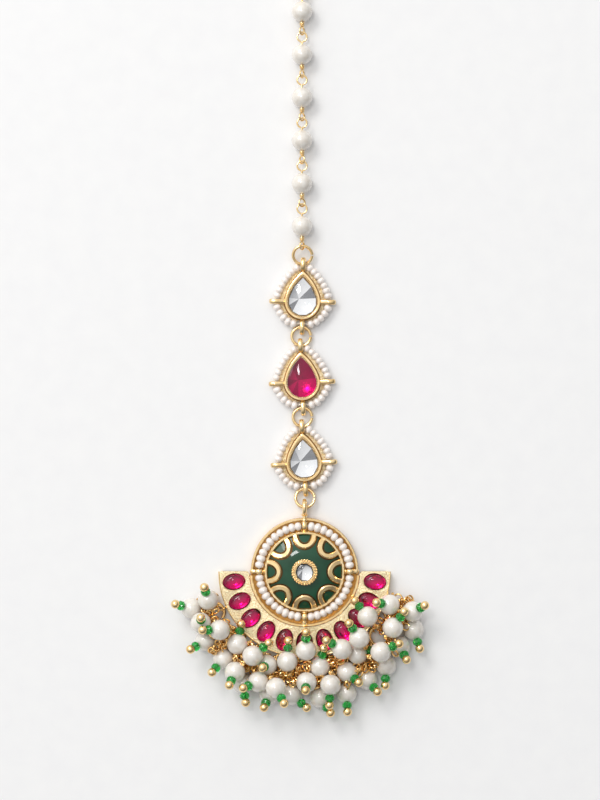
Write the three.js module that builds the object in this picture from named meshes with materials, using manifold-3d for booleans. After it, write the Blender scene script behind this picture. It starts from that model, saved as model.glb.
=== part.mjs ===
// A maang tikka: a gold pendant with enamel, rubies and bunches of pearls, on a chain of pearls and
// set stones. It lies flat on its back. Millimetres, +Z up. The origin is the middle of the round disc's
// flat back, +Y runs up the chain to the hook and +Z points away from the forehead.
import * as THREE from 'three';
import { mergeVertices } from 'three/addons/utils/BufferGeometryUtils.js';
import Module from 'manifold-3d';

const wasm = await Module();
wasm.setup();

const quarter = Math.PI / 2;
const radians = THREE.MathUtils.degToRad;

// Fits
const gap = 0.1;                 // between small pieces that lie free of each other
const solder = 0.2;              // how far soldered pieces run into each other

// Round disc
const plateThickness = 0.8;
const cupRadius = 7.95;          // outside of the wall that holds the enamel
const cupWall = 0.5;
const cupHeight = 2.6;
const discBead = 1.8;            // seed pearls round the enamel
const beadRoom = 0.225;          // on each side of them
const rimWidth = 0.5;
const rimHeight = 2;
const discRadius = cupRadius + discBead + 2 * beadRoom + rimWidth;
const threadRadius = 0.14;       // wire that the seed pearls are threaded on
const eyeletWall = 0.45;         // metal round the hole of an eyelet
const eyeletWidth = 0.9;
const bareThread = 0.8;          // from the middle of an eyelet to the first bead
const bareLow = 1.2;             // and from the middle of a teardrop's lower eye

// Enamel and the petals over it
const enamelEdge = 2.2;          // height at the cup's wall
const enamelTop = 3.5;           // height beside the centre collet
const petalCount = 8;
const petalReach = 2.9;          // from the cup's wall towards the middle
const petalHalf = 2.45;          // half its width at the wall
const petalBand = 1.05;
const petalThickness = 0.5;
const petalLift = 0.1;           // the flat petals clear the domed enamel

// Centre collet and stone
const colletRadius = 2.6;
const colletWall = 0.7;
const colletHeight = 1.1;
const colletStem = 1.2;          // radius of the post through the enamel
const centreStoneRise = 0.35;    // table above the collet

// Bail on top of the disc
const bailRadius = 1.35;         // to the middle of its wire
const bailWire = 0.45;           // radius of its wire
const bailReach = 12.75;         // from the disc's middle to the bail's middle
const bailHeight = 1.9;

// Crescent and its row of rubies
const rubyCount = 11;
const rubyLong = 4.4;            // across the crescent
const rubyShort = 3.2;
const rubyTop = 2.6;
const rubyPitch = 16.33;         // degrees
const rubySeat = 0.2;            // dark line round each ruby
const crescentGap = 0.3;         // between the disc's rim and the crescent's thick face
const innerEdge = 1;             // metal between the rubies and the crescent's edges
const outerEdge = 0.8;
const crescentInner = discRadius + crescentGap;
const rubyPath = crescentInner + innerEdge + rubyLong / 2;
const crescentOuter = rubyPath + rubyLong / 2 + outerEdge;
const crescentThickness = 1.8;
const crescentCorner = 0.9;

// Rings on the crescent's edge and the pearls that hang from them
const lugReach = 0.65;           // from the crescent's edge to the hole
const lugWall = 0.3;
const lugHole = 0.45;
const lugWidth = 0.5;
const ringRadius = 1.88;         // jump rings, to the middle of the wire
const ringWire = 0.27;
const ringSplit = 8;             // degrees of the open joint
const dropPearl = 2.05;          // radius
const dropWire = 0.2;
const tipBead = 0.95;            // radius of the glass bead and the gold ball beyond the pearl
const glassReach = 2.35;         // from the pearl's middle to the glass bead's
const goldReach = 3.9;

// Teardrop links
const linkRadius = 3.5;
const linkTip = 6.05;            // from the middle of the round part to the tip
const linkShoulder = 15;         // degrees above the middle where the round part ends
const linkWall = 0.65;
const linkHeight = 2.35;
const linkFloor = 0.6;
const linkStoneRise = 0.3;
const linkTable = 0.8;           // width of the crown facets
const linkBead = 1.55;
const linkThreadHeight = 1.25;
const linkEyelet = 5.4;          // from the middle to the hole of a side eyelet
const topEye = { across: 1.05, along: 1.25, height: 1.3 };
const lowEye = { across: 0.95, along: 1.4, height: 1.2 };
const eyeWire = 0.22;
const eyeStand = 0.1;            // from the bezel to the middle of an eye's wire
const topReach = linkTip + topEye.along + eyeStand;
const lowReach = linkRadius + lowEye.along + eyeStand;

// Pearl chain
const chainPearls = 6;
const chainPearl = 2.05;         // radius
const drilled = 0.3;             // radius of the hole through a pearl
const pinWire = 0.19;
const pinNeck = 0.3;             // straight wire above a pearl
const pinCoil = 0.86;            // wrapped wire below a pearl
const pinCoilRadius = 0.5;
const upperLoop = 0.95;
const lowerLoop = 0.75;

// Hook
const hookWire = 0.4;
const hookEye = 1;
const hookShank = 9;
const hookBend = 1.7;
const hookPoint = 4.5;

// Where the links lie: a sideways place and a lean in degrees for each, from the disc upwards
const linkRow = [
  { name: 'teardrop_1', aside: -0.1, lean: 3.3, stone: 'clear' },
  { name: 'teardrop_2', aside: -0.5, lean: 2.5, stone: 'ruby' },
  { name: 'teardrop_3', aside: -0.4, lean: -1, stone: 'clear' },
];
const chainAside = -0.5;

// Route of the thread round the right half of a teardrop, from the top eye to the low one, as shares of
// the eyelet's reach across and of the eyes' reach along
const threadRoute = [
  { across: 0.26, along: 0.9 },
  { across: 0.59, along: 0.65 },
  { across: 0.85, along: 0.33 },
  { across: 1, along: 0 },
  { across: 0.89, along: -0.34 },
  { across: 0.58, along: -0.75 },
  { across: 0.24, along: -0.9 },
];

// The hanging pearls, from the lowest row to the highest. Bearing of the pearl about the disc's middle, its
// reach as a share of the crescent's radius, the way that its tip points, and the tip's lean upwards
const drops = [
  { bearing: 198, reach: 1.38, aim: 162, lean: 37 },
  { bearing: 215, reach: 1.40, aim: 207, lean: 36 },
  { bearing: 227, reach: 1.38, aim: 229, lean: 34 },
  { bearing: 241, reach: 1.48, aim: 280, lean: 23 },
  { bearing: 254, reach: 1.48, aim: 246, lean: 52 },
  { bearing: 264, reach: 1.44, aim: 322, lean: 20 },
  { bearing: 277, reach: 1.47, aim: 306, lean: 29 },
  { bearing: 289, reach: 1.49, aim: 273, lean: 30 },
  { bearing: 300, reach: 1.44, aim: 313, lean: 41 },
  { bearing: 311, reach: 1.44, aim: 267, lean: 16 },
  { bearing: 322, reach: 1.40, aim: 297, lean: 47 },
  { bearing: 332, reach: 1.43, aim: 288, lean: 17 },
  { bearing: 303, reach: 1.13, aim: 15, lean: 15 },
  { bearing: 293, reach: 1.26, aim: 321, lean: 44 },
  { bearing: 248, reach: 1.16, aim: 194, lean: 78 },
  { bearing: 196, reach: 1.16, aim: 104, lean: 48 },
  { bearing: 206, reach: 1.33, aim: 85, lean: 72 },
  { bearing: 214, reach: 1.18, aim: 177, lean: 36 },
  { bearing: 235, reach: 1.40, aim: 246, lean: 51 },
  { bearing: 247, reach: 1.37, aim: 198, lean: 41 },
  { bearing: 340, reach: 1.33, aim: 32, lean: 49 },
  { bearing: 325, reach: 0.89, aim: 129, lean: 0 },
  { bearing: 271, reach: 0.90, aim: 90, lean: 25 },
  { bearing: 296, reach: 0.98, aim: 149, lean: 28 },
  { bearing: 310, reach: 0.98, aim: 124, lean: 25 },
  { bearing: 339, reach: 1.05, aim: 167, lean: 48 },
  { bearing: 259, reach: 1.05, aim: 87, lean: 0 },
  { bearing: 227, reach: 1.14, aim: 79, lean: 0 },
  { bearing: 238, reach: 1.13, aim: 38, lean: 0 },
  { bearing: 279, reach: 1.11, aim: 78, lean: 19 },
  { bearing: 256, reach: 1.36, aim: 300, lean: 37 },
  { bearing: 283, reach: 1.33, aim: 267, lean: 0 },
  { bearing: 271, reach: 1.27, aim: 261, lean: 72 },
  { bearing: 328, reach: 1.20, aim: 56, lean: 15 },
  { bearing: 314, reach: 1.26, aim: 25, lean: 10 },
];

// Fineness
const ringSteps = 10;
const loopSteps = 8;
const wireSides = 5;
const beadSides = 10;

// Materials
const gold = new THREE.MeshStandardMaterial({ color: 0xd9b260, roughness: 0.35, metalness: 1 });
const pearl = new THREE.MeshStandardMaterial({ color: 0xf1ece0, roughness: 0.25, metalness: 0 });
const seedPearl = new THREE.MeshStandardMaterial({ color: 0xeee0d6, roughness: 0.3, metalness: 0 });
const ruby = new THREE.MeshStandardMaterial({ color: 0xb8004c, roughness: 0.12, metalness: 0 });
const clear = new THREE.MeshStandardMaterial({ color: 0xd6dade, roughness: 0.05, metalness: 0.2 });
const enamel = new THREE.MeshStandardMaterial({ color: 0x1d4a33, roughness: 0.15, metalness: 0 });

// Makes a solid of a closed geometry, with its faces turned outwards
function closed(geometry) {
  const bare = geometry.clone();
  bare.deleteAttribute('normal');
  bare.deleteAttribute('uv');
  const merged = mergeVertices(bare, 1e-4);
  const place = merged.attributes.position;
  const corner = [0, 1, 2].map(() => new THREE.Vector3());
  const faces = [];
  let volume = 0;
  for (let i = 0; i < merged.index.count; i += 3) {
    const face = [0, 1, 2].map((k) => merged.index.getX(i + k));
    if (new Set(face).size < 3) continue;
    face.forEach((vertex, k) => corner[k].fromBufferAttribute(place, vertex));
    volume += corner[0].dot(corner[1].cross(corner[2]));
    faces.push(face);
  }
  const triVerts = Uint32Array.from(faces.flatMap((face) => (volume < 0 ? face.reverse() : face)));
  const vertProperties = Float32Array.from(place.array);
  return new wasm.Manifold(new wasm.Mesh({ numProp: 3, vertProperties, triVerts }));
}

const joined = (solids) => solids.reduce((whole, next) => whole.add(next));

function meshOf(name, solid, material) {
  const { vertProperties, triVerts } = solid.getMesh();
  const geometry = new THREE.BufferGeometry();
  geometry.setAttribute('position', new THREE.BufferAttribute(vertProperties, 3));
  geometry.setIndex(new THREE.BufferAttribute(triVerts, 1));
  geometry.computeVertexNormals();
  const mesh = new THREE.Mesh(geometry, material);
  mesh.name = name;
  return mesh;
}

// Outlines
function arc(radius, from, to, steps) {
  return Array.from({ length: steps + 1 }, (_, i) => {
    const angle = from + (to - from) * i / steps;
    return new THREE.Vector2(radius * Math.cos(angle), radius * Math.sin(angle));
  });
}

const circle = (radius, sides) => arc(radius, 0, 2 * Math.PI, sides).slice(0, sides);

// Half of an oval, on the side of -X
function ovalArc(along, across, steps) {
  return arc(1, quarter, 3 * quarter, steps).map(({ x, y }) => new THREE.Vector2(x * along, y * across));
}

const moved = (points, x, y) => points.map((point) => new THREE.Vector2(point.x + x, point.y + y));

// A round foot with flatter curved sides that meet at the tip. Each side is an arc that leaves the round
// part smoothly, so its centre lies beyond the foot's own
function teardrop(radius, tip, steps = 6, sideSteps = 2) {
  const turn = radians(linkShoulder);
  const beyond = (tip ** 2 - radius ** 2) / (2 * (radius - tip * Math.sin(turn)));
  const centre = new THREE.Vector2(-beyond * Math.cos(turn), -beyond * Math.sin(turn));
  const tipTurn = Math.atan2(tip - centre.y, -centre.x);
  const right = moved(arc(radius + beyond, turn, tipTurn, sideSteps), centre.x, centre.y).slice(1);
  const left = right.slice(0, -1).reverse().map(({ x, y }) => new THREE.Vector2(-x, y));
  const foot = arc(radius, Math.PI - turn, 2 * Math.PI + turn, steps);
  return [...right.slice(-1), ...left, ...foot, ...right.slice(0, -1)];
}

// A plate from one height to another, with holes cut through it
function plate(outline, low, high, holes = []) {
  const shape = new THREE.Shape(outline);
  shape.holes = holes.map((hole) => new THREE.Path(hole));
  const geometry = new THREE.ExtrudeGeometry(shape, { depth: high - low, bevelEnabled: false });
  return geometry.translate(0, 0, low);
}

// A turned shape about +Z, from a profile of distances from the axis and heights
function turned(profile, sides) {
  const points = profile.map(([x, y]) => new THREE.Vector2(x, y));
  return new THREE.LatheGeometry(points, sides).rotateX(quarter);
}

// A closed loop of wire in the XY plane. The along size may differ from the across size
function loop(across, along, wire, steps = loopSteps) {
  return new THREE.TorusGeometry(across, wire, wireSides, steps).scale(1, along / across, 1);
}

// The same loop set on edge, in the YZ plane
const loopOnEdge = (across, along, wire, steps) => loop(across, along, wire, steps).rotateY(quarter);

function wireAlong(points, radius, steps, sides = wireSides) {
  const path = new THREE.CatmullRomCurve3(points);
  const section = new THREE.Shape(circle(radius, sides));
  return new THREE.ExtrudeGeometry(section, { steps, bevelEnabled: false, extrudePath: path });
}

// A straight rod between two points
function rod(from, to, radius, sides = wireSides) {
  const section = new THREE.Shape(circle(radius, sides));
  return new THREE.ExtrudeGeometry(section, { steps: 1, extrudePath: new THREE.LineCurve3(from, to) });
}

// An upright plate that runs outwards along +X and holds a hole across it, as a thread or ring passes it
function eyelet(from, holeAt, holeHeight, hole, wall, width, base) {
  const round = hole + wall;
  const outline = [
    new THREE.Vector2(from, base),
    new THREE.Vector2(holeAt + round, base),
    ...moved(arc(round, 0, Math.PI, 3), holeAt, holeHeight),
    new THREE.Vector2(from, holeHeight),
  ];
  const opening = moved(circle(hole / Math.cos(Math.PI / 6), 6), holeAt, holeHeight);
  return plate(outline, -width / 2, width / 2, [opening]).rotateX(quarter);
}

// Round disc: plate, enamel cup, collet on its post, rim wire over the upper half
const threadHole = threadRadius + gap + 0.05;
const threadPath = (cupRadius + discRadius - rimWidth) / 2;
const threadHeight = plateThickness + gap + discBead / 2;
const enamelRadius = cupRadius - cupWall - gap;
const colletBase = enamelTop + gap;
const colletTop = colletBase + colletHeight;
const eyeletReach = discRadius - rimWidth / 2;

// Height of the enamel at a distance from the middle
function enamelHeight(reach) {
  const share = Math.max(0, reach - colletRadius) / (enamelRadius - colletRadius);
  return enamelTop - (enamelTop - enamelEdge) * share ** 2;
}

// Petals lie over the enamel, tilted to its slope, and are soldered to the cup's wall at their broad end
function petals() {
  const slope = Math.atan2(enamelHeight(enamelRadius - petalReach) - enamelEdge, petalReach);
  const outline = [
    new THREE.Vector2(solder, petalHalf),
    ...ovalArc(petalReach, petalHalf, 6),
    new THREE.Vector2(solder, -petalHalf),
  ];
  const inside = moved(ovalArc(petalReach - petalBand, petalHalf - petalBand, 4), -solder, 0);
  return Array.from({ length: petalCount }, (_, i) => {
    const blade = plate(outline, gap + petalLift, gap + petalLift + petalThickness, [inside]);
    blade.rotateY(slope).translate(enamelRadius + gap, 0, enamelEdge);
    return closed(blade.rotateZ(2 * Math.PI * i / petalCount));
  });
}

function disc() {
  const body = turned([
    [0, 0],
    [discRadius, 0],
    [discRadius, plateThickness],
    [cupRadius, plateThickness],
    [cupRadius, cupHeight],
    [cupRadius - cupWall, cupHeight],
    [cupRadius - cupWall, plateThickness],
    [0, plateThickness],
  ], 24);
  const collet = turned([
    [0, plateThickness - solder],
    [colletStem, plateThickness - solder],
    [colletStem, colletBase],
    [colletRadius, colletBase],
    [colletRadius, colletTop],
    [colletRadius - colletWall, colletTop],
    [colletRadius - colletWall, colletBase + solder],
    [0, colletBase + solder],
  ], 12);
  const rimOutline = [
    ...arc(discRadius, 0, Math.PI, 14),
    ...arc(discRadius - rimWidth, Math.PI, 0, 14),
  ];
  return joined([
    closed(body),
    closed(collet),
    closed(plate(rimOutline, plateThickness - solder, rimHeight)),
    ...petals(),
  ]);
}

// Eyelets carry the thread of seed pearls at the disc's left, right, bottom and top
function discEyelets() {
  const from = cupRadius - solder;
  const base = plateThickness - solder;
  return [0, 1, 2, 3].map((i) => {
    const geometry = eyelet(from, threadPath, threadHeight, threadHole, eyeletWall, eyeletWidth, base);
    return closed(geometry.rotateZ(i * quarter));
  });
}

function bail() {
  const post = rod(
    new THREE.Vector3(0, threadPath + threadHole + eyeletWall / 2, bailHeight),
    new THREE.Vector3(0, bailReach - bailRadius, bailHeight),
    bailWire,
  );
  const ring = loopOnEdge(bailRadius, bailRadius, bailWire);
  return joined([closed(ring.translate(0, bailReach, bailHeight)), closed(post)]);
}

// Crescent: a thin bed soldered to the disc, with a thick face that is cut out round each ruby
const bearingOf = (index, count) => 3 * quarter + radians(rubyPitch) * (index - (count - 1) / 2);

const rubyBearings = Array.from({ length: rubyCount }, (_, i) => bearingOf(i, rubyCount));

function halfRing(inner, outer, corner) {
  const outerTurn = corner / outer;
  const innerTurn = corner / inner;
  return [
    new THREE.Vector2(-inner - corner, 0),
    new THREE.Vector2(-outer + corner, 0),
    ...arc(outer, Math.PI + outerTurn, 2 * Math.PI - outerTurn, 18),
    new THREE.Vector2(outer - corner, 0),
    new THREE.Vector2(inner + corner, 0),
    ...arc(inner, 2 * Math.PI - innerTurn, Math.PI + innerTurn, 14),
  ];
}

function oval(long, short, steps) {
  return circle(1, steps).map((point) => new THREE.Vector2(point.x * long / 2, point.y * short / 2));
}

function crescent() {
  const seat = oval(rubyLong + 2 * rubySeat, rubyShort + 2 * rubySeat, 8);
  const seats = rubyBearings.map((bearing) => {
    const middle = new THREE.Vector2(rubyPath, 0).rotateAround(new THREE.Vector2(), bearing);
    return seat.map((point) => point.clone().rotateAround(new THREE.Vector2(), bearing).add(middle));
  });
  const bed = plate(halfRing(discRadius - rimWidth, crescentOuter, crescentCorner), 0, plateThickness);
  const face = halfRing(crescentInner, crescentOuter, crescentCorner);
  return joined([
    closed(bed),
    closed(plate(face, plateThickness - solder, crescentThickness, seats)),
  ]);
}

// Lugs under the crescent's edge, one behind each ruby but the two at the ends
const bunchCount = rubyCount - 2;
const lugHeight = lugHole + lugWall;
const lugPath = crescentOuter + lugReach;
const bunchBearings = Array.from({ length: bunchCount }, (_, i) => bearingOf(i, bunchCount));

function lugs() {
  return bunchBearings.map((bearing) => {
    const lug = eyelet(crescentOuter - solder, lugPath, lugHeight, lugHole, lugWall, lugWidth, 0);
    return closed(lug.rotateZ(bearing));
  });
}

// The hanging pearls lie in a heap. Each drop is a row of balls, and it is let down on the drops that
// were laid before it, at the lowest height at which all its balls are clear
const shelves = [
  { reach: crescentOuter, top: crescentThickness },
  { reach: rubyPath + rubyLong / 2, top: rubyTop },
  { reach: discRadius, top: threadHeight + threadHole + eyeletWall },
];

const flat = (bearing, reach) => new THREE.Vector3(reach * Math.cos(bearing), reach * Math.sin(bearing), 0);

const lugBalls = bunchBearings.map((bearing) => {
  return { place: flat(bearing, lugPath).setZ(lugHeight), radius: lugHole + lugWall };
});

const bunchRings = bunchBearings.map((bearing) => flat(bearing, lugPath + ringRadius).setZ(lugHeight));

function ringBalls(centre) {
  return circle(ringRadius, 12).map((point) => ({
    place: new THREE.Vector3(centre.x + point.x, centre.y + point.y, centre.z),
    radius: ringWire,
  }));
}

// Height that a ball needs over the floor and the metal below it
function floorUnder(place, radius) {
  const reach = Math.hypot(place.x, place.y);
  const heights = shelves.map((shelf) => {
    const beyond = Math.max(0, reach - shelf.reach);
    const room = radius + gap;
    return beyond < room ? shelf.top + Math.sqrt(room ** 2 - beyond ** 2) : 0;
  });
  return Math.max(radius, ...heights);
}

function layDrop(row, laid) {
  const bearing = radians(row.bearing);
  const aim = radians(row.aim);
  const lean = radians(row.lean);
  const way = flat(aim, Math.cos(lean)).setZ(Math.sin(lean));
  const middle = flat(bearing, row.reach * crescentOuter);
  const back = middle.clone().addScaledVector(way, -dropPearl);
  const near = bunchRings.map((centre) => Math.hypot(centre.x - back.x, centre.y - back.y));
  const bunch = near.indexOf(Math.min(...near));
  const ring = bunchRings[bunch];
  // The wire holds on at the ring's nearest point, or at its side where the pearl lies inwards of the ring
  const outward = flat(bunchBearings[bunch], 1);
  const sideways = flat(bunchBearings[bunch] + quarter, 1);
  const toBack = new THREE.Vector3(back.x - ring.x, back.y - ring.y, 0);
  const out = toBack.dot(outward);
  const aside = toBack.dot(sideways);
  const holdWay = out > 0 ? toBack : sideways.multiplyScalar(Math.sign(aside)).addScaledVector(outward, 0.1);
  const hold = ring.clone().add(holdWay.setLength(ringRadius));
  const balls = [
    { place: middle, radius: dropPearl },
    { place: middle.clone().addScaledVector(way, glassReach), radius: tipBead },
    { place: middle.clone().addScaledVector(way, goldReach), radius: tipBead },
  ];
  const tooLow = [];
  for (const ball of balls) {
    tooLow.push([-Infinity, floorUnder(ball.place, ball.radius) - ball.place.z]);
    for (const other of laid) {
      const room = ball.radius + other.radius + gap;
      const apart = Math.hypot(ball.place.x - other.place.x, ball.place.y - other.place.y);
      if (apart >= room) continue;
      const reach = Math.sqrt(room ** 2 - apart ** 2);
      const level = other.place.z - ball.place.z;
      tooLow.push([level - reach, level + reach]);
    }
  }
  tooLow.sort((one, two) => one[0] - two[0]);
  let height = 0;
  for (const [low, high] of tooLow) {
    if (low <= height && high > height) height = high;
  }
  for (const ball of balls) {
    ball.place = ball.place.clone().setZ(ball.place.z + height);
    laid.push(ball);
  }
  return { bunch, way, middle: balls[0].place, hold };
}

function heap() {
  const laid = [...lugBalls, ...bunchRings.flatMap(ringBalls)];
  return drops.map((row) => layDrop(row, laid));
}

// One drop: a pearl on a head pin, with a glass bead and a gold ball beyond it
function dropSolids({ way, middle, hold }) {
  const shoulder = dropPearl * Math.SQRT1_2;
  const profile = [
    [0, -dropPearl],
    [shoulder, -shoulder],
    [dropPearl, 0],
    [shoulder, shoulder],
    [tipBead, goldReach],
    [0, goldReach + tipBead],
  ];
  const turn = new THREE.Quaternion().setFromUnitVectors(new THREE.Vector3(0, 0, 1), way);
  const body = turned(profile, beadSides).applyQuaternion(turn).translate(middle.x, middle.y, middle.z);
  const back = middle.clone().addScaledVector(way, solder - dropPearl);
  return [closed(body), closed(rod(hold, back, dropWire))];
}

function bunches() {
  const laid = heap();
  return bunchRings.map((centre, i) => {
    const ring = loop(ringRadius, ringRadius, ringWire, ringSteps).translate(centre.x, centre.y, centre.z);
    const hung = laid.filter((drop) => drop.bunch === i).flatMap(dropSolids);
    return joined([closed(ring), ...hung]);
  });
}

// Strings of seed pearls: a fat stretch for each run of beads, and the bare thread through each eyelet
function stretch(path, from, to, steps) {
  return Array.from({ length: steps + 1 }, (_, i) => path.getPointAt(from + (to - from) * i / steps));
}

function beadRun(points, bead, steps, bareFirst, bareLast = bareFirst) {
  const path = new THREE.CatmullRomCurve3(points);
  const length = path.getLength();
  const beads = stretch(path, bareFirst / length, 1 - bareLast / length, steps);
  return closed(wireAlong(beads, bead / 2, steps, 6));
}

const threadAt = (place, way, bare = bareThread) => {
  const half = way.clone().setLength(bare + solder);
  return closed(rod(place.clone().sub(half), place.clone().add(half), threadRadius));
};

function discString() {
  const runs = [0, 1, 2, 3].map((i) => {
    const points = arc(threadPath, i * quarter, (i + 1) * quarter, 8).map(({ x, y }) => {
      return new THREE.Vector3(x, y, threadHeight);
    });
    return beadRun(points, discBead, 6, bareThread);
  });
  const threads = [0, 1, 2, 3].map((i) => {
    return threadAt(flat(i * quarter, threadPath).setZ(threadHeight), flat((i + 1) * quarter, 1));
  });
  return joined([...runs, ...threads]);
}

function teardropString() {
  const right = threadRoute.map(({ across, along }) => {
    const reach = along > 0 ? topReach : lowReach;
    return new THREE.Vector3(across * linkEyelet, along * reach, linkThreadHeight);
  });
  const side = right.findIndex((point) => point.y === 0);
  const inEye = eyeWire + threadRadius + gap;
  const top = new THREE.Vector3(0, topReach - topEye.along + inEye, linkThreadHeight);
  const low = new THREE.Vector3(0, lowEye.along - lowReach - inEye, linkThreadHeight);
  const runs = [
    { points: [top, ...right.slice(0, side + 1)], steps: 4, last: bareThread },
    { points: [...right.slice(side), low], steps: 3, last: bareLow },
  ];
  const beads = runs.flatMap(({ points, steps, last }) => {
    const mirrored = points.map((point) => point.clone().setX(-point.x));
    return [points, mirrored].map((route) => beadRun(route, linkBead, steps, bareThread, last));
  });
  const acrossWay = new THREE.Vector3(1, 0, 0);
  const alongWay = new THREE.Vector3(0, 1, 0);
  const sideHole = right[side];
  return joined([
    ...beads,
    threadAt(top, acrossWay),
    threadAt(low, acrossWay, bareLow),
    threadAt(sideHole, alongWay),
    threadAt(sideHole.clone().setX(-linkEyelet), alongWay),
  ]);
}

// Teardrop link: bezel with a ledge round it, an eye at the top and one below, and an eyelet on each side
function scaledTeardrop(inset) {
  const share = (linkRadius - inset) / linkRadius;
  return teardrop(linkRadius * share, linkTip * share);
}

function eyeOn(eye, at) {
  return loopOnEdge(eye.across, eye.along, eyeWire).translate(0, at, eye.height);
}

function teardropSetting() {
  const pocket = scaledTeardrop(linkWall);
  const from = linkRadius - solder;
  const side = eyelet(from, linkEyelet, linkThreadHeight, threadHole, eyeletWall, eyeletWidth, linkFloor);
  return joined([
    closed(plate(scaledTeardrop(0), 0, linkHeight, [pocket])),
    closed(plate(scaledTeardrop(linkWall / 2), 0, linkFloor)),
    closed(side),
    closed(side.clone().rotateZ(Math.PI)),
    closed(eyeOn(topEye, topReach)),
    closed(eyeOn(lowEye, -lowReach)),
  ]);
}

// A cut stone: a flat table, a ring of crown facets, a girdle and the same cut below
function cutStone(outline, low, high, facet) {
  const crown = 0.42 * (high - low);
  const shape = new THREE.Shape(outline);
  const geometry = new THREE.ExtrudeGeometry(shape, {
    depth: high - low - 2 * crown,
    bevelThickness: crown,
    bevelSize: facet,
    bevelSegments: 1,
  });
  return closed(geometry.translate(0, 0, low + crown));
}

function cabochon() {
  const low = plateThickness + gap;
  const rise = rubyTop - low;
  const dome = turned([[0, 0], [1, 0], [0.8, 0.75 * rise], [0, rise]], beadSides);
  return closed(dome.scale(rubyLong / 2, rubyShort / 2, 1).translate(0, 0, low));
}

// Jump ring in the XY plane, with the joint that it was closed at
function jumpRing() {
  const points = arc(ringRadius, radians(ringSplit / 2), radians(360 - ringSplit / 2), 24);
  const path = points.map(({ x, y }) => new THREE.Vector3(x, y, 0));
  return closed(wireAlong(path, ringWire, ringSteps));
}

// Pearl on its eye pin, about the pearl's middle. The upper loop lies flat and the lower one stands on edge
const upperLoopAt = chainPearl + pinNeck + upperLoop + pinWire;
const lowerLoopAt = chainPearl + pinCoil + lowerLoop + pinWire;

function eyePin() {
  const stem = rod(
    new THREE.Vector3(0, -chainPearl - pinCoil / 2, 0),
    new THREE.Vector3(0, upperLoopAt - upperLoop, 0),
    pinWire,
  );
  const coil = rod(
    new THREE.Vector3(0, -chainPearl - pinCoil - pinWire, 0),
    new THREE.Vector3(0, -chainPearl - gap / 2, 0),
    pinCoilRadius,
    6,
  );
  return joined([
    closed(stem),
    closed(coil),
    closed(loop(upperLoop, upperLoop, pinWire).translate(0, upperLoopAt, 0)),
    closed(loopOnEdge(lowerLoop, lowerLoop, pinWire).translate(0, -lowerLoopAt, 0)),
  ]);
}

function drilledPearl() {
  const open = Math.acos(drilled / chainPearl);
  const curve = arc(chainPearl, -open, open, 4).map((point) => [point.x, point.y]);
  return closed(turned([...curve, curve[0]], beadSides).rotateX(quarter));
}

// Hook, flat on its side, with an eye on edge that the first pin's loop hangs in
function hook() {
  const eyeHeight = chainPearl - (hookEye - hookWire - pinWire - gap);
  const shankEnd = hookEye + hookShank;
  const path = [
    new THREE.Vector3(0, hookEye, eyeHeight),
    new THREE.Vector3(0, hookEye + 0.5 * hookShank, 0.45 * eyeHeight),
    new THREE.Vector3(0, shankEnd, hookWire),
    ...arc(hookBend, Math.PI, 0, 6).slice(1).map((point) => {
      return new THREE.Vector3(point.x + hookBend, point.y + shankEnd, hookWire);
    }),
    new THREE.Vector3(2 * hookBend, shankEnd - 0.6 * hookPoint, hookWire),
    new THREE.Vector3(2.3 * hookBend, shankEnd - hookPoint, hookWire),
  ];
  const eye = loopOnEdge(hookEye, hookEye, hookWire).translate(0, 0, eyeHeight);
  return joined([closed(wireAlong(path, hookWire, 12)), closed(eye)]);
}

// The whole piece, from the disc up the chain
const maangTikka = new THREE.Group();

const frame = joined([disc(), ...discEyelets(), bail(), crescent(), ...lugs()]);
maangTikka.add(meshOf('pendant_frame', frame, gold));
maangTikka.add(meshOf('enamel_dome', closed(turned([
  [colletStem + gap, plateThickness + gap],
  [enamelRadius, plateThickness + gap],
  ...[enamelRadius, 0.72 * enamelRadius, colletRadius, colletStem + gap].map((reach) => {
    return [reach, enamelHeight(reach)];
  }),
  [colletStem + gap, plateThickness + gap],
], 16)), enamel));

const centreStoneFacet = 0.5;
const centreStone = circle(colletRadius - colletWall - gap - centreStoneFacet, 12);
const centreStoneBed = colletBase + solder + gap;
maangTikka.add(meshOf(
  'centre_stone',
  cutStone(centreStone, centreStoneBed, colletTop + centreStoneRise, centreStoneFacet),
  clear,
));
maangTikka.add(meshOf('disc_seed_string', discString(), seedPearl));

rubyBearings.forEach((bearing, i) => {
  const mesh = meshOf(`crescent_ruby_${i + 1}`, cabochon(), ruby);
  mesh.position.copy(flat(bearing, rubyPath));
  mesh.rotation.z = bearing;
  maangTikka.add(mesh);
});

bunches().forEach((bunch, i) => maangTikka.add(meshOf(`pearl_bunch_${i + 1}`, bunch, pearl)));

// Rings pass through the middle of the eyes, resting low in them
const restIn = (height, hole) => height - (hole - ringWire - gap);

function placeRing(name, lowSeat, highSeat) {
  const mesh = meshOf(name, jumpRing(), gold);
  const middle = lowSeat.clone().add(highSeat).multiplyScalar(0.5);
  mesh.position.copy(middle);
  mesh.rotation.x = Math.atan2(highSeat.z - lowSeat.z, 2 * ringRadius);
  maangTikka.add(mesh);
}

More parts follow.
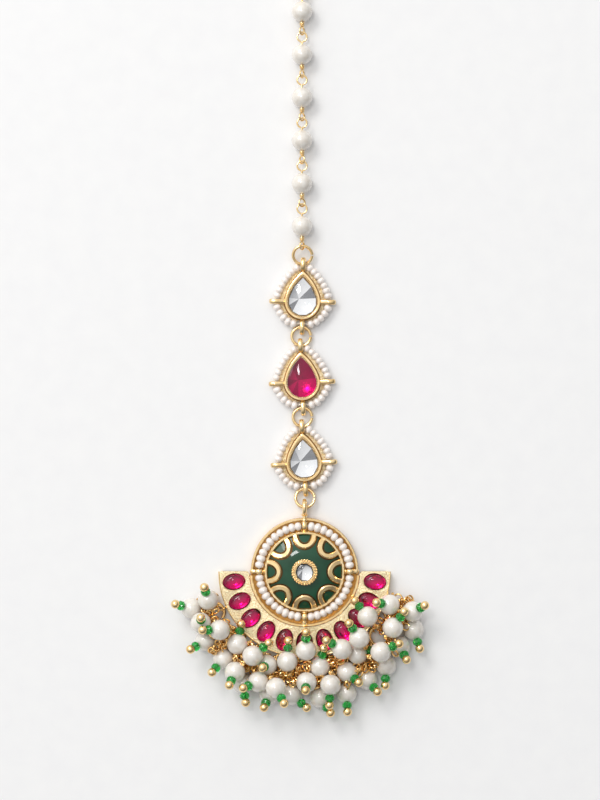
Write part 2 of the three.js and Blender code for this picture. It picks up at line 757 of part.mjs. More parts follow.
let seat = new THREE.Vector3(0, bailReach, restIn(bailHeight, bailRadius - bailWire));
linkRow.forEach(({ name, aside, lean, stone }, i) => {
  const turn = radians(lean);
  const middle = new THREE.Vector3(aside, seat.y + 2 * ringRadius + lowReach, 0);
  const link = new THREE.Group();
  link.position.copy(middle);
  link.rotation.z = turn;
  const stoneOutline = scaledTeardrop(linkWall + gap + linkTable);
  const stoneSolid = cutStone(stoneOutline, linkFloor + gap, linkHeight + linkStoneRise, linkTable);
  link.add(meshOf(`${name}_setting`, teardropSetting(), gold));
  link.add(meshOf(`${name}_stone`, stoneSolid, stone === 'ruby' ? ruby : clear));
  link.add(meshOf(`${name}_seed_string`, teardropString(), seedPearl));
  maangTikka.add(link);
  const lowSeat = new THREE.Vector3(0, -lowReach, restIn(lowEye.height, lowEye.across - eyeWire));
  const highSeat = new THREE.Vector3(0, topReach, restIn(topEye.height, topEye.across - eyeWire));
  const upright = new THREE.Vector3(0, 0, 1);
  placeRing(`jump_ring_${i + 1}`, seat, lowSeat.applyAxisAngle(upright, turn).add(middle));
  seat = highSeat.applyAxisAngle(upright, turn).add(middle);
});

const firstPin = new THREE.Vector3(chainAside, seat.y + 2 * ringRadius, chainPearl);
const pinSeat = firstPin.clone().setZ(restIn(chainPearl, lowerLoop - pinWire));
placeRing(`jump_ring_${linkRow.length + 1}`, seat, pinSeat);

// Loops of neighbouring pins pass through each other
const loopsApart = upperLoop + lowerLoop - 2 * pinWire - gap;
const pearlPitch = lowerLoopAt + upperLoopAt + loopsApart;
for (let i = 0; i < chainPearls; i += 1) {
  const middle = new THREE.Vector3(chainAside, firstPin.y + lowerLoopAt + i * pearlPitch, chainPearl);
  const pin = meshOf(`eye_pin_${i + 1}`, eyePin(), gold);
  const bead = meshOf(`chain_pearl_${i + 1}`, drilledPearl(), pearl);
  pin.position.copy(middle);
  bead.position.copy(middle);
  maangTikka.add(pin, bead);
}

const lastLoop = firstPin.y + lowerLoopAt + (chainPearls - 1) * pearlPitch + upperLoopAt;
const hookMesh = meshOf('hair_hook', hook(), gold);
hookMesh.position.set(chainAside, lastLoop + hookEye, 0);
maangTikka.add(hookMesh);

export default maangTikka;
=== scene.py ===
"""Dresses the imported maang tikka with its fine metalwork, stones, pearls and beads.

Sizes are in millimetres, named as in the part's source. Meshes are scaled to metres as they are made.
"""
import random
from math import asin, atan2, copysign, cos, hypot, inf, pi, radians, sin, sqrt

import bmesh
import bpy
import numpy as np
from mathutils import Matrix, Vector
from mathutils.geometry import tessellate_polygon


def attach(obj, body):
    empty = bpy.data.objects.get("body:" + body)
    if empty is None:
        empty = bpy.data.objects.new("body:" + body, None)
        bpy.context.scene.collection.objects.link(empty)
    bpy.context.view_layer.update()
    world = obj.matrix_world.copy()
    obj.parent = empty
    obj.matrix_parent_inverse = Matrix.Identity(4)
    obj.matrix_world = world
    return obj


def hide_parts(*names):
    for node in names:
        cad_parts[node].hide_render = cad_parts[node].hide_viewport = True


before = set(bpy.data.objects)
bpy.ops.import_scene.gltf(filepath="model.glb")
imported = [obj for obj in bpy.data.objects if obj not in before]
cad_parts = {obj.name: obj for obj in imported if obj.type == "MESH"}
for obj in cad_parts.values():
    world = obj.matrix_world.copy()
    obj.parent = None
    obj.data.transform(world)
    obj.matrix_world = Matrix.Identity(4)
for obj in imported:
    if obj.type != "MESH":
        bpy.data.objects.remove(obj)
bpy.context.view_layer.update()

MM = 0.001
TURN = 2 * pi
QUARTER = pi / 2
SHARP = radians(38)
chance = random.Random(11)

# Fits
GAP = 0.1

# Round disc
PLATE = 0.8
CUP_RADIUS = 7.95
CUP_WALL = 0.5
CUP_HEIGHT = 2.6
DISC_BEAD = 1.8
BEAD_ROOM = 0.225
RIM_WIDTH = 0.5
RIM_HEIGHT = 2
DISC_RADIUS = CUP_RADIUS + DISC_BEAD + 2 * BEAD_ROOM + RIM_WIDTH
THREAD_RADIUS = 0.14
THREAD_PATH = (CUP_RADIUS + DISC_RADIUS - RIM_WIDTH) / 2
THREAD_HEIGHT = PLATE + GAP + DISC_BEAD / 2
BARE_THREAD = 0.8
BARE_LOW = 1.2
EYELET_HOLE = THREAD_RADIUS + GAP + 0.05
EYELET_WALL = 0.45

# Enamel, petals, collet and centre stone
ENAMEL_RADIUS = CUP_RADIUS - CUP_WALL - GAP
ENAMEL_EDGE = 2.2
ENAMEL_TOP = 3.5
PETAL_COUNT = 8
PETAL_REACH = 2.9
PETAL_HALF = 2.45
PETAL_BAND = 1.05
COLLET_RADIUS = 2.6
COLLET_WALL = 0.7
COLLET_HEIGHT = 1.1
COLLET_STEM = 1.2
COLLET_BASE = ENAMEL_TOP + GAP
COLLET_TOP = COLLET_BASE + COLLET_HEIGHT
CENTRE_STONE_TOP = COLLET_TOP + 0.35

# Bail
BAIL_RADIUS = 1.35
BAIL_WIRE = 0.45
BAIL_REACH = 12.75
BAIL_HEIGHT = 1.9

# Crescent and its rubies
RUBY_COUNT = 11
RUBY_LONG = 4.4
RUBY_SHORT = 3.2
RUBY_TOP = 2.6
RUBY_PITCH = radians(16.33)
RUBY_SEAT = 0.2
CRESCENT_INNER = DISC_RADIUS + 0.3
RUBY_PATH = CRESCENT_INNER + 1 + RUBY_LONG / 2
CRESCENT_OUTER = RUBY_PATH + RUBY_LONG / 2 + 0.8
CRESCENT_TOP = 1.8
CRESCENT_CORNER = 0.9
LIP_WIDTH = 0.6
LIP_RISE = 0.35

# Rings on the crescent's edge and the drops on them
BUNCH_COUNT = RUBY_COUNT - 2
LUG_HOLE = 0.45
LUG_WALL = 0.3
LUG_HEIGHT = LUG_HOLE + LUG_WALL
LUG_PATH = CRESCENT_OUTER + 0.65
RING_RADIUS = 1.88
RING_WIRE = 0.27
RING_SPLIT = radians(8)
DROP_PEARL = 2.05
DROP_WIRE = 0.2
TIP_BEAD = 0.95
GLASS_REACH = 2.35
GOLD_REACH = 3.9

# Teardrop links
LINK_RADIUS = 3.5
LINK_TIP = 6.05
LINK_SHOULDER = radians(15)
LINK_WALL = 0.65
LINK_HEIGHT = 2.35
LINK_FLOOR = 0.6
LINK_STONE_TOP = LINK_HEIGHT + 0.3
LINK_BEAD = 1.55
LINK_THREAD_HEIGHT = 1.25
LINK_EYELET = 5.4
TOP_EYE = {"across": 1.05, "along": 1.25, "height": 1.3}
LOW_EYE = {"across": 0.95, "along": 1.4, "height": 1.2}
EYE_WIRE = 0.22
TOP_REACH = LINK_TIP + TOP_EYE["along"] + 0.1
LOW_REACH = LINK_RADIUS + LOW_EYE["along"] + 0.1
LINK_EYES = ((LOW_EYE, -LOW_REACH), (TOP_EYE, TOP_REACH))

# Pearl chain
CHAIN_PEARLS = 6
CHAIN_PEARL = 2.05
DRILLED = 0.3
PIN_WIRE = 0.19
PIN_NECK = 0.3
PIN_COIL = 0.86
UPPER_LOOP = 0.95
LOWER_LOOP = 0.75
UPPER_LOOP_AT = CHAIN_PEARL + PIN_NECK + UPPER_LOOP + PIN_WIRE
LOWER_LOOP_AT = CHAIN_PEARL + PIN_COIL + LOWER_LOOP + PIN_WIRE

# Hook
HOOK_WIRE = 0.4
HOOK_EYE = 1
HOOK_SHANK = 9
HOOK_BEND = 1.7
HOOK_POINT = 4.5

# The links from the disc upwards: sideways place, lean in degrees and stone
LINK_ROW = [
    (-0.1, 3.3, "clear"),
    (-0.5, 2.5, "ruby"),
    (-0.4, -1, "clear"),
]
CHAIN_ASIDE = -0.5

# Route of the thread round the right half of a link: shares of the side eyelet's and of the eyes' reach
THREAD_ROUTE = [
    (0.26, 0.9),
    (0.59, 0.65),
    (0.85, 0.33),
    (1, 0),
    (0.89, -0.34),
    (0.58, -0.75),
    (0.24, -0.9),
]

# The hanging pearls in the order that they are laid: bearing about the disc's middle, reach as a share of
# the crescent's radius, the bearing that the tip points to, and the tip's lean upwards
DROPS = [
    (198, 1.38, 162, 37),
    (215, 1.40, 207, 36),
    (227, 1.38, 229, 34),
    (241, 1.48, 280, 23),
    (254, 1.48, 246, 52),
    (264, 1.44, 322, 20),
    (277, 1.47, 306, 29),
    (289, 1.49, 273, 30),
    (300, 1.44, 313, 41),
    (311, 1.44, 267, 16),
    (322, 1.40, 297, 47),
    (332, 1.43, 288, 17),
    (303, 1.13, 15, 15),
    (293, 1.26, 321, 44),
    (248, 1.16, 194, 78),
    (196, 1.16, 104, 48),
    (206, 1.33, 85, 72),
    (214, 1.18, 177, 36),
    (235, 1.40, 246, 51),
    (247, 1.37, 198, 41),
    (340, 1.33, 32, 49),
    (325, 0.89, 129, 0),
    (271, 0.90, 90, 25),
    (296, 0.98, 149, 28),
    (310, 0.98, 124, 25),
    (339, 1.05, 167, 48),
    (259, 1.05, 87, 0),
    (227, 1.14, 79, 0),
    (238, 1.13, 38, 0),
    (279, 1.11, 78, 19),
    (256, 1.36, 300, 37),
    (283, 1.33, 267, 0),
    (271, 1.27, 261, 72),
    (328, 1.20, 56, 15),
    (314, 1.26, 25, 10),
]

# What only this script shapes
GLASS_AT = 2.68  # green bead on the head pin, from the pearl's middle
GLASS_HALF = 0.66
GLASS_RADIUS = 0.97
TIP_HOLE = DROP_WIRE + 0.03  # through the hanging pearl and its green bead
GOLD_AT = 4.05  # gold ball at the pin's end
GOLD_RADIUS = 0.9
WRAP_WIRE = 0.15
FIRST_LOOP = 0.72  # loop of a hanging pearl's own ring, and the least height of its middle
FIRST_LOW = 0.95
BACK_LOW = 0.55  # least height of the end of a head pin
LOOP_WIRE = 0.18  # small loops and links in the bunches
LOOP_LOW = 0.96  # least height of a small link's middle
LOOP_PITCH = 1.0  # between the small links of a hanging pearl
LOOP_TRIES = 160  # small loops drawn for a bunch, most of which find no room
LOOP_REACH = 3.6  # how far the small loops may lie from the middle of a bunch's ring
LOOP_RISE = 3.2  # how far they may lie above it
LOOP_ROOM = 1.15  # how far they may lie from a pearl
FACE_CORNER = 0.5  # corners of the crescent's thick face
FLANGE_INSET = 0.6  # from the seed pearls' thread to the edge of a link's back plate
FLANGE_TOP = 0.45
LEDGE_STEP = 0.38  # from a link's outside to its inner ledge
STAPLE_THICK = 0.25  # half sizes of the flattened wire of the eyelets and eyes
STAPLE_WIDE = 0.48
STAPLE_REACH = 1.9  # length of a side staple's loop for its width
GIRDLE = 0.12  # height of a stone's upright edge
PEAR_CROWN = 1.25  # width of a pear's sloping facets
RUBY_EDGE = 0.4  # bezel round the larger ruby pear
RING_THICK = 0.31  # jump rings, a little fuller than the round wire in the part's source
PIN_TWISTS = (58, 42, 128, 50, 62, 55)  # how the chain's wrapped loops are turned, in degrees

# Ways from the part to its lamps, and the metres that a way of length 1 stands for
KEY_WAY = (-0.4, 0.6, 0.7)
FILL_WAY = (-0.66, 0.4, 0.8)
GLINT_WAY = (-0.2, 0.26, 1)
LAMP_REACH = 0.9

# Order of the metals in the pendant and in the links' settings; the recess and line metals are darker golds,
# painted shade in the hollows and painted shadow round the petals
PLAIN, SAND, SHADED_RECESS, SHADOW_LINE, BRIGHT = range(5)

UPRIGHT = (0, 0, 1)
ON_EDGE = Matrix.Rotation(QUARTER, 4, "X")
ENDWAYS = Matrix.Rotation(QUARTER, 4, "Y")


# Forms, each a pair of its points and its faces


def lathe(profile, sides, closed=False):
    """Turns a profile of distances from the axis and heights about +Z."""
    angles = np.arange(sides) * TURN / sides
    points = []
    rows = []
    for reach, height in profile:
        start = len(points)
        if abs(reach) < 1e-9:
            points.append((0, 0, height))
            rows.append([start] * sides)
        else:
            points.extend((reach * cos(a), reach * sin(a), height) for a in angles)
            rows.append(list(range(start, start + sides)))
    if closed:
        rows.append(rows[0])
    faces = []
    for low, high in zip(rows, rows[1:]):
        for i in range(sides):
            j = (i + 1) % sides
            corners = list(dict.fromkeys((low[i], low[j], high[j], high[i])))
            if len(corners) > 2:
                faces.append(corners)
    return np.array(points, float), faces


def ball(radius, sides, hole=0.0):
    """A round bead about +Z, drilled where a hole is asked for."""
    start = asin(hole / radius)
    angles = np.linspace(start, pi - start, sides // 2 + 1)
    return lathe([(radius * sin(a), -radius * cos(a)) for a in angles], sides, closed=hole > 0)


def rondelle(radius, half, hole, sides):
    """A drilled seed bead with full round cheeks, about +Z."""
    angles = np.linspace(-QUARTER, QUARTER, 9)
    cheek = min(half, radius - hole) * 0.92
    profile = [(radius - cheek + cheek * cos(a), half * sin(a)) for a in angles]
    return lathe([(hole, -half * 0.8), *profile, (hole, half * 0.8)], sides, closed=True)


def unit(ways):
    return ways / np.linalg.norm(ways, axis=-1, keepdims=True)


def directions(path, closed):
    """The way that a path runs at each of its points."""
    if closed:
        return unit(np.roll(path, -1, axis=0) - np.roll(path, 1, axis=0))
    return unit(np.gradient(path, axis=0))


def sweep(path, ups, section, closed=False):
    """Carries a section of sideways and upward offsets along a path. Ends are closed with flat caps."""
    path = np.asarray(path, float)
    along = directions(path, closed)
    side = unit(np.cross(along, np.asarray(ups, float)))
    lift = np.cross(side, along)
    section = np.asarray(section, float)
    sideways = side[:, None, :] * section[None, :, :1]
    upwards = lift[:, None, :] * section[None, :, 1:]
    points = path[:, None, :] + sideways + upwards
    rows, count = points.shape[:2]
    faces = []
    for i in range(rows if closed else rows - 1):
        for k in range(count):
            low, high = i * count, (i + 1) % rows * count
            faces.append([low + k, low + (k + 1) % count, high + (k + 1) % count, high + k])
    if not closed:
        faces.append(list(range(count)))
        faces.append(list(range((rows - 1) * count, rows * count)))
    return points.reshape(-1, 3), faces


def carried_ups(path, closed):
    """Upward directions that follow a path without twisting."""
    along = directions(np.asarray(path, float), closed)
    guess = np.array((0, 0, 1.0)) if abs(along[0][2]) < 0.9 else np.array((1.0, 0, 0))
    ups = []
    for way in along:
        guess = unit(guess - way * guess.dot(way))
        ups.append(guess)
    return ups


def bar_section(half, low, high, bevel):
    """A flat bar with bevelled upper edges."""
    return [
        (-half, low), (half, low), (half, high - bevel),
        (half - bevel, high), (bevel - half, high), (-half, high - bevel),
    ]


def wire(path, radius, sides=10, closed=False):
    """A round wire along a path."""
    return sweep(path, carried_ups(path, closed), hoop(radius, radius, sides)[:, :2], closed)


def wire_ring(radius, thick, steps, sides):
    """A closed round ring in the XY plane."""
    return wire(hoop(radius, radius, steps), thick, sides, closed=True)


def flat_wire(path, broad_way, closed=False):
    """A flattened wire along a path, broad in one direction."""
    return sweep(path, [broad_way] * len(path), hoop(STAPLE_THICK, STAPLE_WIDE, 16)[:, :2], closed)


def arc(radius, start, end, steps):
    angles = np.linspace(start, end, steps + 1)
    return [(radius * cos(a), radius * sin(a)) for a in angles]


def hoop(across, along, steps=40):
    """A closed path round an oval in the XY plane."""
    angles = np.arange(steps) * TURN / steps
    return np.stack((across * np.cos(angles), along * np.sin(angles), np.zeros(steps)), axis=1)


def raised(outline, height):
    return [(x, y, height) for x, y in outline]


def plate(outlines, low, high):
    """A flat plate. The first outline is its outside, and the others are holes in it."""
    points = []
    faces = []
    flat = []
    for outline in outlines:
        start = len(points)
        count = len(outline)
        points.extend(raised(outline, low) + raised(outline, high))
        for i in range(count):
            j = (i + 1) % count
            faces.append([start + i, start + j, start + count + j, start + count + i])
        flat.append((start, count))
    lows = [start + i for start, count in flat for i in range(count)]
    highs = [start + count + i for start, count in flat for i in range(count)]
    loops = [[Vector((x, y, 0)) for x, y in outline] for outline in outlines]
    for corners in tessellate_polygon(loops):
        faces.append([lows[k] for k in corners])
        faces.append([highs[k] for k in corners])
    return np.array(points, float), faces


def rounded(form, width):
    """The same form with its hard edges rounded."""
    points, faces = form
    solid = bmesh.new()
    corners = [solid.verts.new(point) for point in points]
    for face in faces:
        solid.faces.new([corners[k] for k in face])
    bmesh.ops.recalc_face_normals(solid, faces=solid.faces)
    hard = [edge for edge in solid.edges if edge.calc_face_angle(0) > radians(50)]
    bmesh.ops.bevel(
        solid, geom=hard, offset=width, segments=3, profile=0.5, affect="EDGES", clamp_overlap=True
    )
    solid.verts.index_update()
    points = np.array([vertex.co[:] for vertex in solid.verts])
    faces = [[vertex.index for vertex in face.verts] for face in solid.faces]
    solid.free()
    return points, faces


def facing(way):
    """Turns +Z to a direction."""
    return Vector(way).to_track_quat("Z", "Y").to_matrix().to_4x4()


def at(x, y, z=0.0):
    return Matrix.Translation((x, y, z))


def about_z(angle):
    return Matrix.Rotation(angle, 4, "Z")


def moved(points, place):
    turn = np.array(place)
    return points @ turn[:3, :3].T + turn[:3, 3]


class Piece:
    """A mesh that is put together from forms, each with a material."""

    def __init__(self, name, *materials):
        self.name = name
        self.materials = materials
        self.points = []
        self.faces = []
        self.material_of = []
        self.count = 0

    def add(self, form, place=None, material=0):
        points, faces = form
        self.points.append(points if place is None else moved(points, place))
        self.faces.extend([corner + self.count for corner in face] for face in faces)
        self.material_of.extend([material] * len(faces))
        self.count += len(points)

    def move(self, place):
        """Moves what was added so far."""
        self.points = [moved(points, place) for points in self.points]

    def finish(self, slot, *nodes, facets=()):
        """Makes the object. Faces of the materials listed as facets are flat, and the others are smooth."""
        mesh = bpy.data.meshes.new(self.name)
        mesh.from_pydata(np.concatenate(self.points) * MM, [], self.faces)
        for made in self.materials:
            mesh.materials.append(made)
        mesh.polygons.foreach_set("material_index", self.material_of)
        solid = bmesh.new()
        solid.from_mesh(mesh)
        bmesh.ops.recalc_face_normals(solid, faces=solid.faces)
        solid.to_mesh(mesh)
        solid.free()
        mesh.polygons.foreach_set("use_smooth", [index not in facets for index in self.material_of])
        mesh.set_sharp_from_angle(angle=SHARP)
        made = bpy.data.objects.new(self.name, mesh)
        bpy.context.scene.collection.objects.link(made)
        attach(made, "root")
        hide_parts(*nodes)


# Materials


def new_material(name):
    made = bpy.data.materials.new(name)
    made.use_nodes = True
    tree = made.node_tree
    return made, tree, tree.nodes["Principled BSDF"]


def fix(shader, values):
    for name, value in values.items():
        shader.inputs[name].default_value = value


def grain(tree, size, detail=2.0, rough=0.5):
    """Noise in the object's own frame, with grains of a size in millimetres."""
    place = tree.nodes.new("ShaderNodeTexCoord")
    noise = tree.nodes.new("ShaderNodeTexNoise")
    fix(noise, {"Scale": 1 / (size * MM), "Detail": detail, "Roughness": rough})
    tree.links.new(place.outputs["Object"], noise.inputs["Vector"])
    return noise.outputs["Fac"]


def shade(tree, shader, socket, source, *stops):
    """Drives a shader's socket with colours or greys along a value. Each stop is a position and a colour."""
    made = tree.nodes.new("ShaderNodeValToRGB")
    marks = made.color_ramp.elements
    while len(marks) < len(stops):
        marks.new(0.5)
    for mark, (position, colour) in zip(marks, stops):
        mark.position = position
        mark.color = (*colour, 1)
    tree.links.new(source, made.inputs["Fac"])
    tree.links.new(made.outputs["Color"], shader.inputs[socket])


def grey(value):
    return (value, value, value)


def bump(tree, shader, height, depth, socket="Normal"):
    made = tree.nodes.new("ShaderNodeBump")
    fix(made, {"Distance": depth * MM, "Strength": 1})
    tree.links.new(height, made.inputs["Height"])
    tree.links.new(made.outputs["Normal"], shader.inputs[socket])


def metal(name, dark, light, smooth, rough, size, depth):
    """Cloudy metal between two colours and two roughnesses, with dents of a size and a depth."""
    made, tree, shader = new_material(name)
    fix(shader, {"Metallic": 1})
    shade(tree, shader, "Base Color", grain(tree, 1.6, 3), (0.3, dark), (0.7, light))
    shade(tree, shader, "Roughness", grain(tree, 0.5, 2), (0.3, grey(smooth)), (0.7, grey(rough)))
    bump(tree, shader, grain(tree, size, 3), depth)
    return made


def sanded_metal(name, dark, light):
    """Cast metal with a sandy face, whose grains are paler than the pits between them: colour that follows
    the dents, painted shade in the pits and painted glints on the grains.
    """
    made, tree, shader = new_material(name)
    fix(shader, {"Metallic": 1})
    sand_and_painted_light = grain(tree, 0.3, 4, 0.6)
    # Colour along the same noise as the dents: painted shade in the pits and painted glints on the grains
    shade(tree, shader, "Base Color", sand_and_painted_light, (0.37, dark), (0.56, light))
    shade(tree, shader, "Roughness", sand_and_painted_light, (0.3, grey(0.5)), (0.7, grey(0.3)))
    bump(tree, shader, sand_and_painted_light, 0.17)
    return made


def pearl_material(name, dark, light, size, depth):
    """Nacre: cloudy ivory under a clear lustrous skin."""
    made, tree, shader = new_material(name)
    shade(tree, shader, "Base Color", grain(tree, size * 2, 3), (0.35, dark), (0.65, light))
    fix(shader, {
        "Roughness": 0.3, "Sheen Weight": 0.15, "Sheen Tint": (1, 0.9, 0.78, 1),
        "Coat Weight": 1, "Coat Roughness": 0.08, "Coat IOR": 1.9,
    })
    bump(tree, shader, grain(tree, size, 2), depth)
    return made


def stone_material(name, tint, rough, index, clearness=1.0):
    """Clear coloured stone or glass with faint clouds."""
    made, tree, shader = new_material(name)
    fix(shader, {"Transmission Weight": clearness, "IOR": index, "Roughness": rough})
    pale = tuple(min(1, c * 1.12) for c in tint)
    shade(tree, shader, "Base Color", grain(tree, 1.2, 2), (0.3, tint), (0.7, pale))
    return made


def enamel_material():
    """Dark green glass paste, fired smooth but for faint waves."""
    made, tree, shader = new_material("enamel")
    greens = (0.3, (0.005, 0.048, 0.02)), (0.7, (0.009, 0.072, 0.033))
    shade(tree, shader, "Base Color", grain(tree, 3.5, 3), *greens)
    fix(shader, {
        "Roughness": 0.35, "Specular IOR Level": 0.1,
        "Coat Weight": 1, "Coat IOR": 1.4, "Coat Roughness": 0.06,
    })
    bump(tree, shader, grain(tree, 2.5, 1), 0.03, "Coat Normal")
    return made


gold = metal("gold", (0.92, 0.64, 0.30), (1.0, 0.78, 0.45), 0.09, 0.2, 0.35, 0.01)
bright_gold = metal("gold_bright", (0.93, 0.63, 0.28), (1.0, 0.77, 0.42), 0.04, 0.1, 1.2, 0.004)
wire_gold = metal("gold_wire", (0.82, 0.49, 0.16), (0.97, 0.67, 0.31), 0.08, 0.2, 0.5, 0.006)
sand_gold = sanded_metal("gold_sanded", (0.76, 0.54, 0.27), (1.0, 0.89, 0.61))
# Darker gold for the floors and hollows between the parts, painted shade
shaded_gold = metal("gold_recess_painted_shade", (0.34, 0.15, 0.03), (0.62, 0.33, 0.1), 0.3, 0.45, 0.4, 0.03)
# Near-black gold, painted shadow round the feet of the petals
painted_shadow_line = metal("gold_painted_shadow_line", (0.06, 0.03, 0.01), (0.15, 0.07, 0.025), 0.4, 0.5, 0.4, 0.02)
foil = metal("foil", (0.90, 0.91, 0.92), (0.96, 0.96, 0.97), 0.03, 0.06, 1.0, 0.0)
# Grey and dark copies of the foil, painted shade on some facets behind the stones
foil_in_painted_half_shade = metal("foil_painted_half_shade", (0.55, 0.56, 0.58), (0.66, 0.67, 0.69), 0.04, 0.08, 1.0, 0.0)
foil_in_painted_shade = metal("foil_painted_shade", (0.24, 0.245, 0.26), (0.34, 0.345, 0.36), 0.04, 0.08, 1.0, 0.0)
# A darker copy of the foil under the ruby pear, painted shade on some of its back facets
shade_painted_ruby_foil = metal("foil_painted_shade_under_ruby", (0.5, 0.48, 0.5), (0.6, 0.58, 0.6), 0.1, 0.18, 1.0, 0.0)
ruby_foil = metal("foil_under_ruby", (0.86, 0.84, 0.86), (0.96, 0.95, 0.96), 0.1, 0.18, 1.0, 0.0)
enamel = enamel_material()
ruby = stone_material("ruby", (0.54, 0.001, 0.09), 0.02, 1.48)
clear = stone_material("clear_stone", (0.96, 0.97, 0.98), 0.0, 1.5)
green_glass = stone_material("green_glass", (0.04, 0.56, 0.1), 0.03, 1.5, 0.8)
pearl = pearl_material("pearl", (0.73, 0.67, 0.595), (0.81, 0.775, 0.72), 0.45, 0.015)
seed_pearl = pearl_material("seed_pearl", (0.85, 0.76, 0.7), (0.95, 0.89, 0.84), 0.4, 0.03)
thread = pearl_material("thread", (0.75, 0.70, 0.6), (0.8, 0.75, 0.66), 0.1, 0.02)


# Disc, bail and crescent


def enamel_height(reach):
    """Height of the dome, which is level under the collet and falls to the cup's wall."""
    share = max(0.0, reach - COLLET_RADIUS) / (ENAMEL_RADIUS - COLLET_RADIUS)
    return ENAMEL_TOP - (ENAMEL_TOP - ENAMEL_EDGE) * share ** 2


def bearings(count):
    return [3 * QUARTER + RUBY_PITCH * (i - (count - 1) / 2) for i in range(count)]


def petal_band(piece):
    """A raised U of gold over the enamel, with its open end at the cup's wall, on a wider near-black band
    that is painted shadow round its foot.
    """
    along = PETAL_REACH - PETAL_BAND / 2
    across = PETAL_HALF - PETAL_BAND / 2
    fall = ENAMEL_TOP - ENAMEL_EDGE
    path = []
    ups = []
    for angle in np.linspace(QUARTER, 3 * QUARTER, 25):
        x = ENAMEL_RADIUS + GAP + along * cos(angle)
        y = across * sin(angle)
        reach = min(hypot(x, y), ENAMEL_RADIUS)
        slope = 2 * fall * (reach - COLLET_RADIUS) / (ENAMEL_RADIUS - COLLET_RADIUS) ** 2
        path.append((x, y, enamel_height(reach)))
        ups.append((x / reach * slope, y / reach * slope, 1))
    low = -0.2
    edge = PETAL_BAND / 2 + 0.24
    blade = bar_section(PETAL_BAND / 2, low, 0.42, 0.2)
    # A wider near-black band under the blade, painted shadow where the petal meets the enamel
    foot = [(-edge, low), (edge, low), (edge, 0.04), (-edge, 0.04)]
    for section, material in ((blade, PLAIN), (foot, SHADOW_LINE)):
        band = sweep(path, ups, section)
        for i in range(PETAL_COUNT):
            piece.add(band, about_z(TURN * i / PETAL_COUNT), material)


def ring_of_beads(piece, path_radius, height, bead, count):
    form = ball(bead, 12)
    for i in range(count):
        angle = TURN * i / count
        piece.add(form, at(path_radius * cos(angle), path_radius * sin(angle), height), BRIGHT)


def disc_body(piece):
    """Back plate, and the enamel cup's wall with its petals."""
    # The back plate is of the darker gold: where it shows between the cup, the seed pearls and the rim it is
    # painted shade
    piece.add(lathe([(0, 0), (DISC_RADIUS, 0), (DISC_RADIUS, PLATE), (0, PLATE)], 96), material=SHADED_RECESS)
    inner = CUP_RADIUS - CUP_WALL
    bead = 0.12
    piece.add(lathe([
        (inner, PLATE), (CUP_RADIUS, PLATE), (CUP_RADIUS, CUP_HEIGHT - bead),
        (CUP_RADIUS - bead, CUP_HEIGHT), (inner + bead, CUP_HEIGHT), (inner, CUP_HEIGHT - bead),
    ], 96, closed=True))
    petal_band(piece)


def collet(piece):
    """The stone's bezel with two rows of beads, on a post through the enamel."""
    inner = COLLET_RADIUS - COLLET_WALL
    piece.add(lathe([
        (0, PLATE), (COLLET_STEM, PLATE), (COLLET_STEM, COLLET_BASE), (COLLET_RADIUS, COLLET_BASE),
        (COLLET_RADIUS, COLLET_TOP - 0.4), (COLLET_RADIUS - 0.12, COLLET_TOP - 0.24),
        (inner + 0.28, COLLET_TOP - 0.2), (inner + 0.2, COLLET_TOP), (inner, COLLET_TOP),
        (inner, COLLET_BASE + 0.2), (0, COLLET_BASE + 0.2),
    ], 64))
    ring_of_beads(piece, COLLET_RADIUS - 0.16, COLLET_TOP - 0.16, 0.22, 28)
    ring_of_beads(piece, inner + 0.14, COLLET_TOP + 0.04, 0.16, 26)


def rim(piece):
    """The wall over the upper half of the disc."""
    middle = DISC_RADIUS - RIM_WIDTH / 2
    path = raised(arc(middle, -0.02, pi + 0.02, 90), PLATE)
    section = bar_section(RIM_WIDTH / 2, -0.1, RIM_HEIGHT - PLATE, 0.13)
    piece.add(sweep(path, [UPRIGHT] * len(path), section))


def disc_eyelets(piece):
    """Staples of folded wire that the seed pearls' thread passes through."""
    round_up = EYELET_HOLE + EYELET_WALL / 2
    outside = DISC_RADIUS - 0.1
    path = [
        (CUP_RADIUS - 0.2, 0, PLATE),
        (CUP_RADIUS, 0, THREAD_HEIGHT),
        *((THREAD_PATH - round_up * cos(a) * 1.5, 0, THREAD_HEIGHT + round_up * sin(a) * 1.3)
          for a in np.linspace(0.3, pi - 0.3, 12)),
        (outside, 0, THREAD_HEIGHT),
        (outside, 0, PLATE),
    ]
    staple = flat_wire(smooth(path, 40), (0, 1, 0))
    for i in range(4):
        piece.add(staple, about_z(i * QUARTER))


def smooth(points, steps, closed=False):
    """Points at even steps along a smooth curve through the given ones."""
    points = np.asarray(points, float)
    count = len(points)
    spans = count if closed else count - 1
    fine = []
    for i in range(spans):
        near = [(i + k) % count if closed else min(max(i + k, 0), count - 1) for k in (-1, 0, 1, 2)]
        before, here, after, later = points[near]
        for t in np.linspace(0, 1, 12, endpoint=False):
            bend = (2 * here + (after - before) * t + (2 * before - 5 * here + 4 * after - later) * t ** 2
                    + (3 * here - before - 3 * after + later) * t ** 3) / 2
            fine.append(bend)
    fine.append(points[0] if closed else points[-1])
    fine = np.array(fine)
    lengths = np.concatenate(([0], np.cumsum(np.linalg.norm(np.diff(fine, axis=0), axis=1))))
    wanted = np.linspace(0, lengths[-1], steps + 1)
    if closed:
        wanted = wanted[:-1]
    return np.stack([np.interp(wanted, lengths, fine[:, k]) for k in range(3)], axis=1)


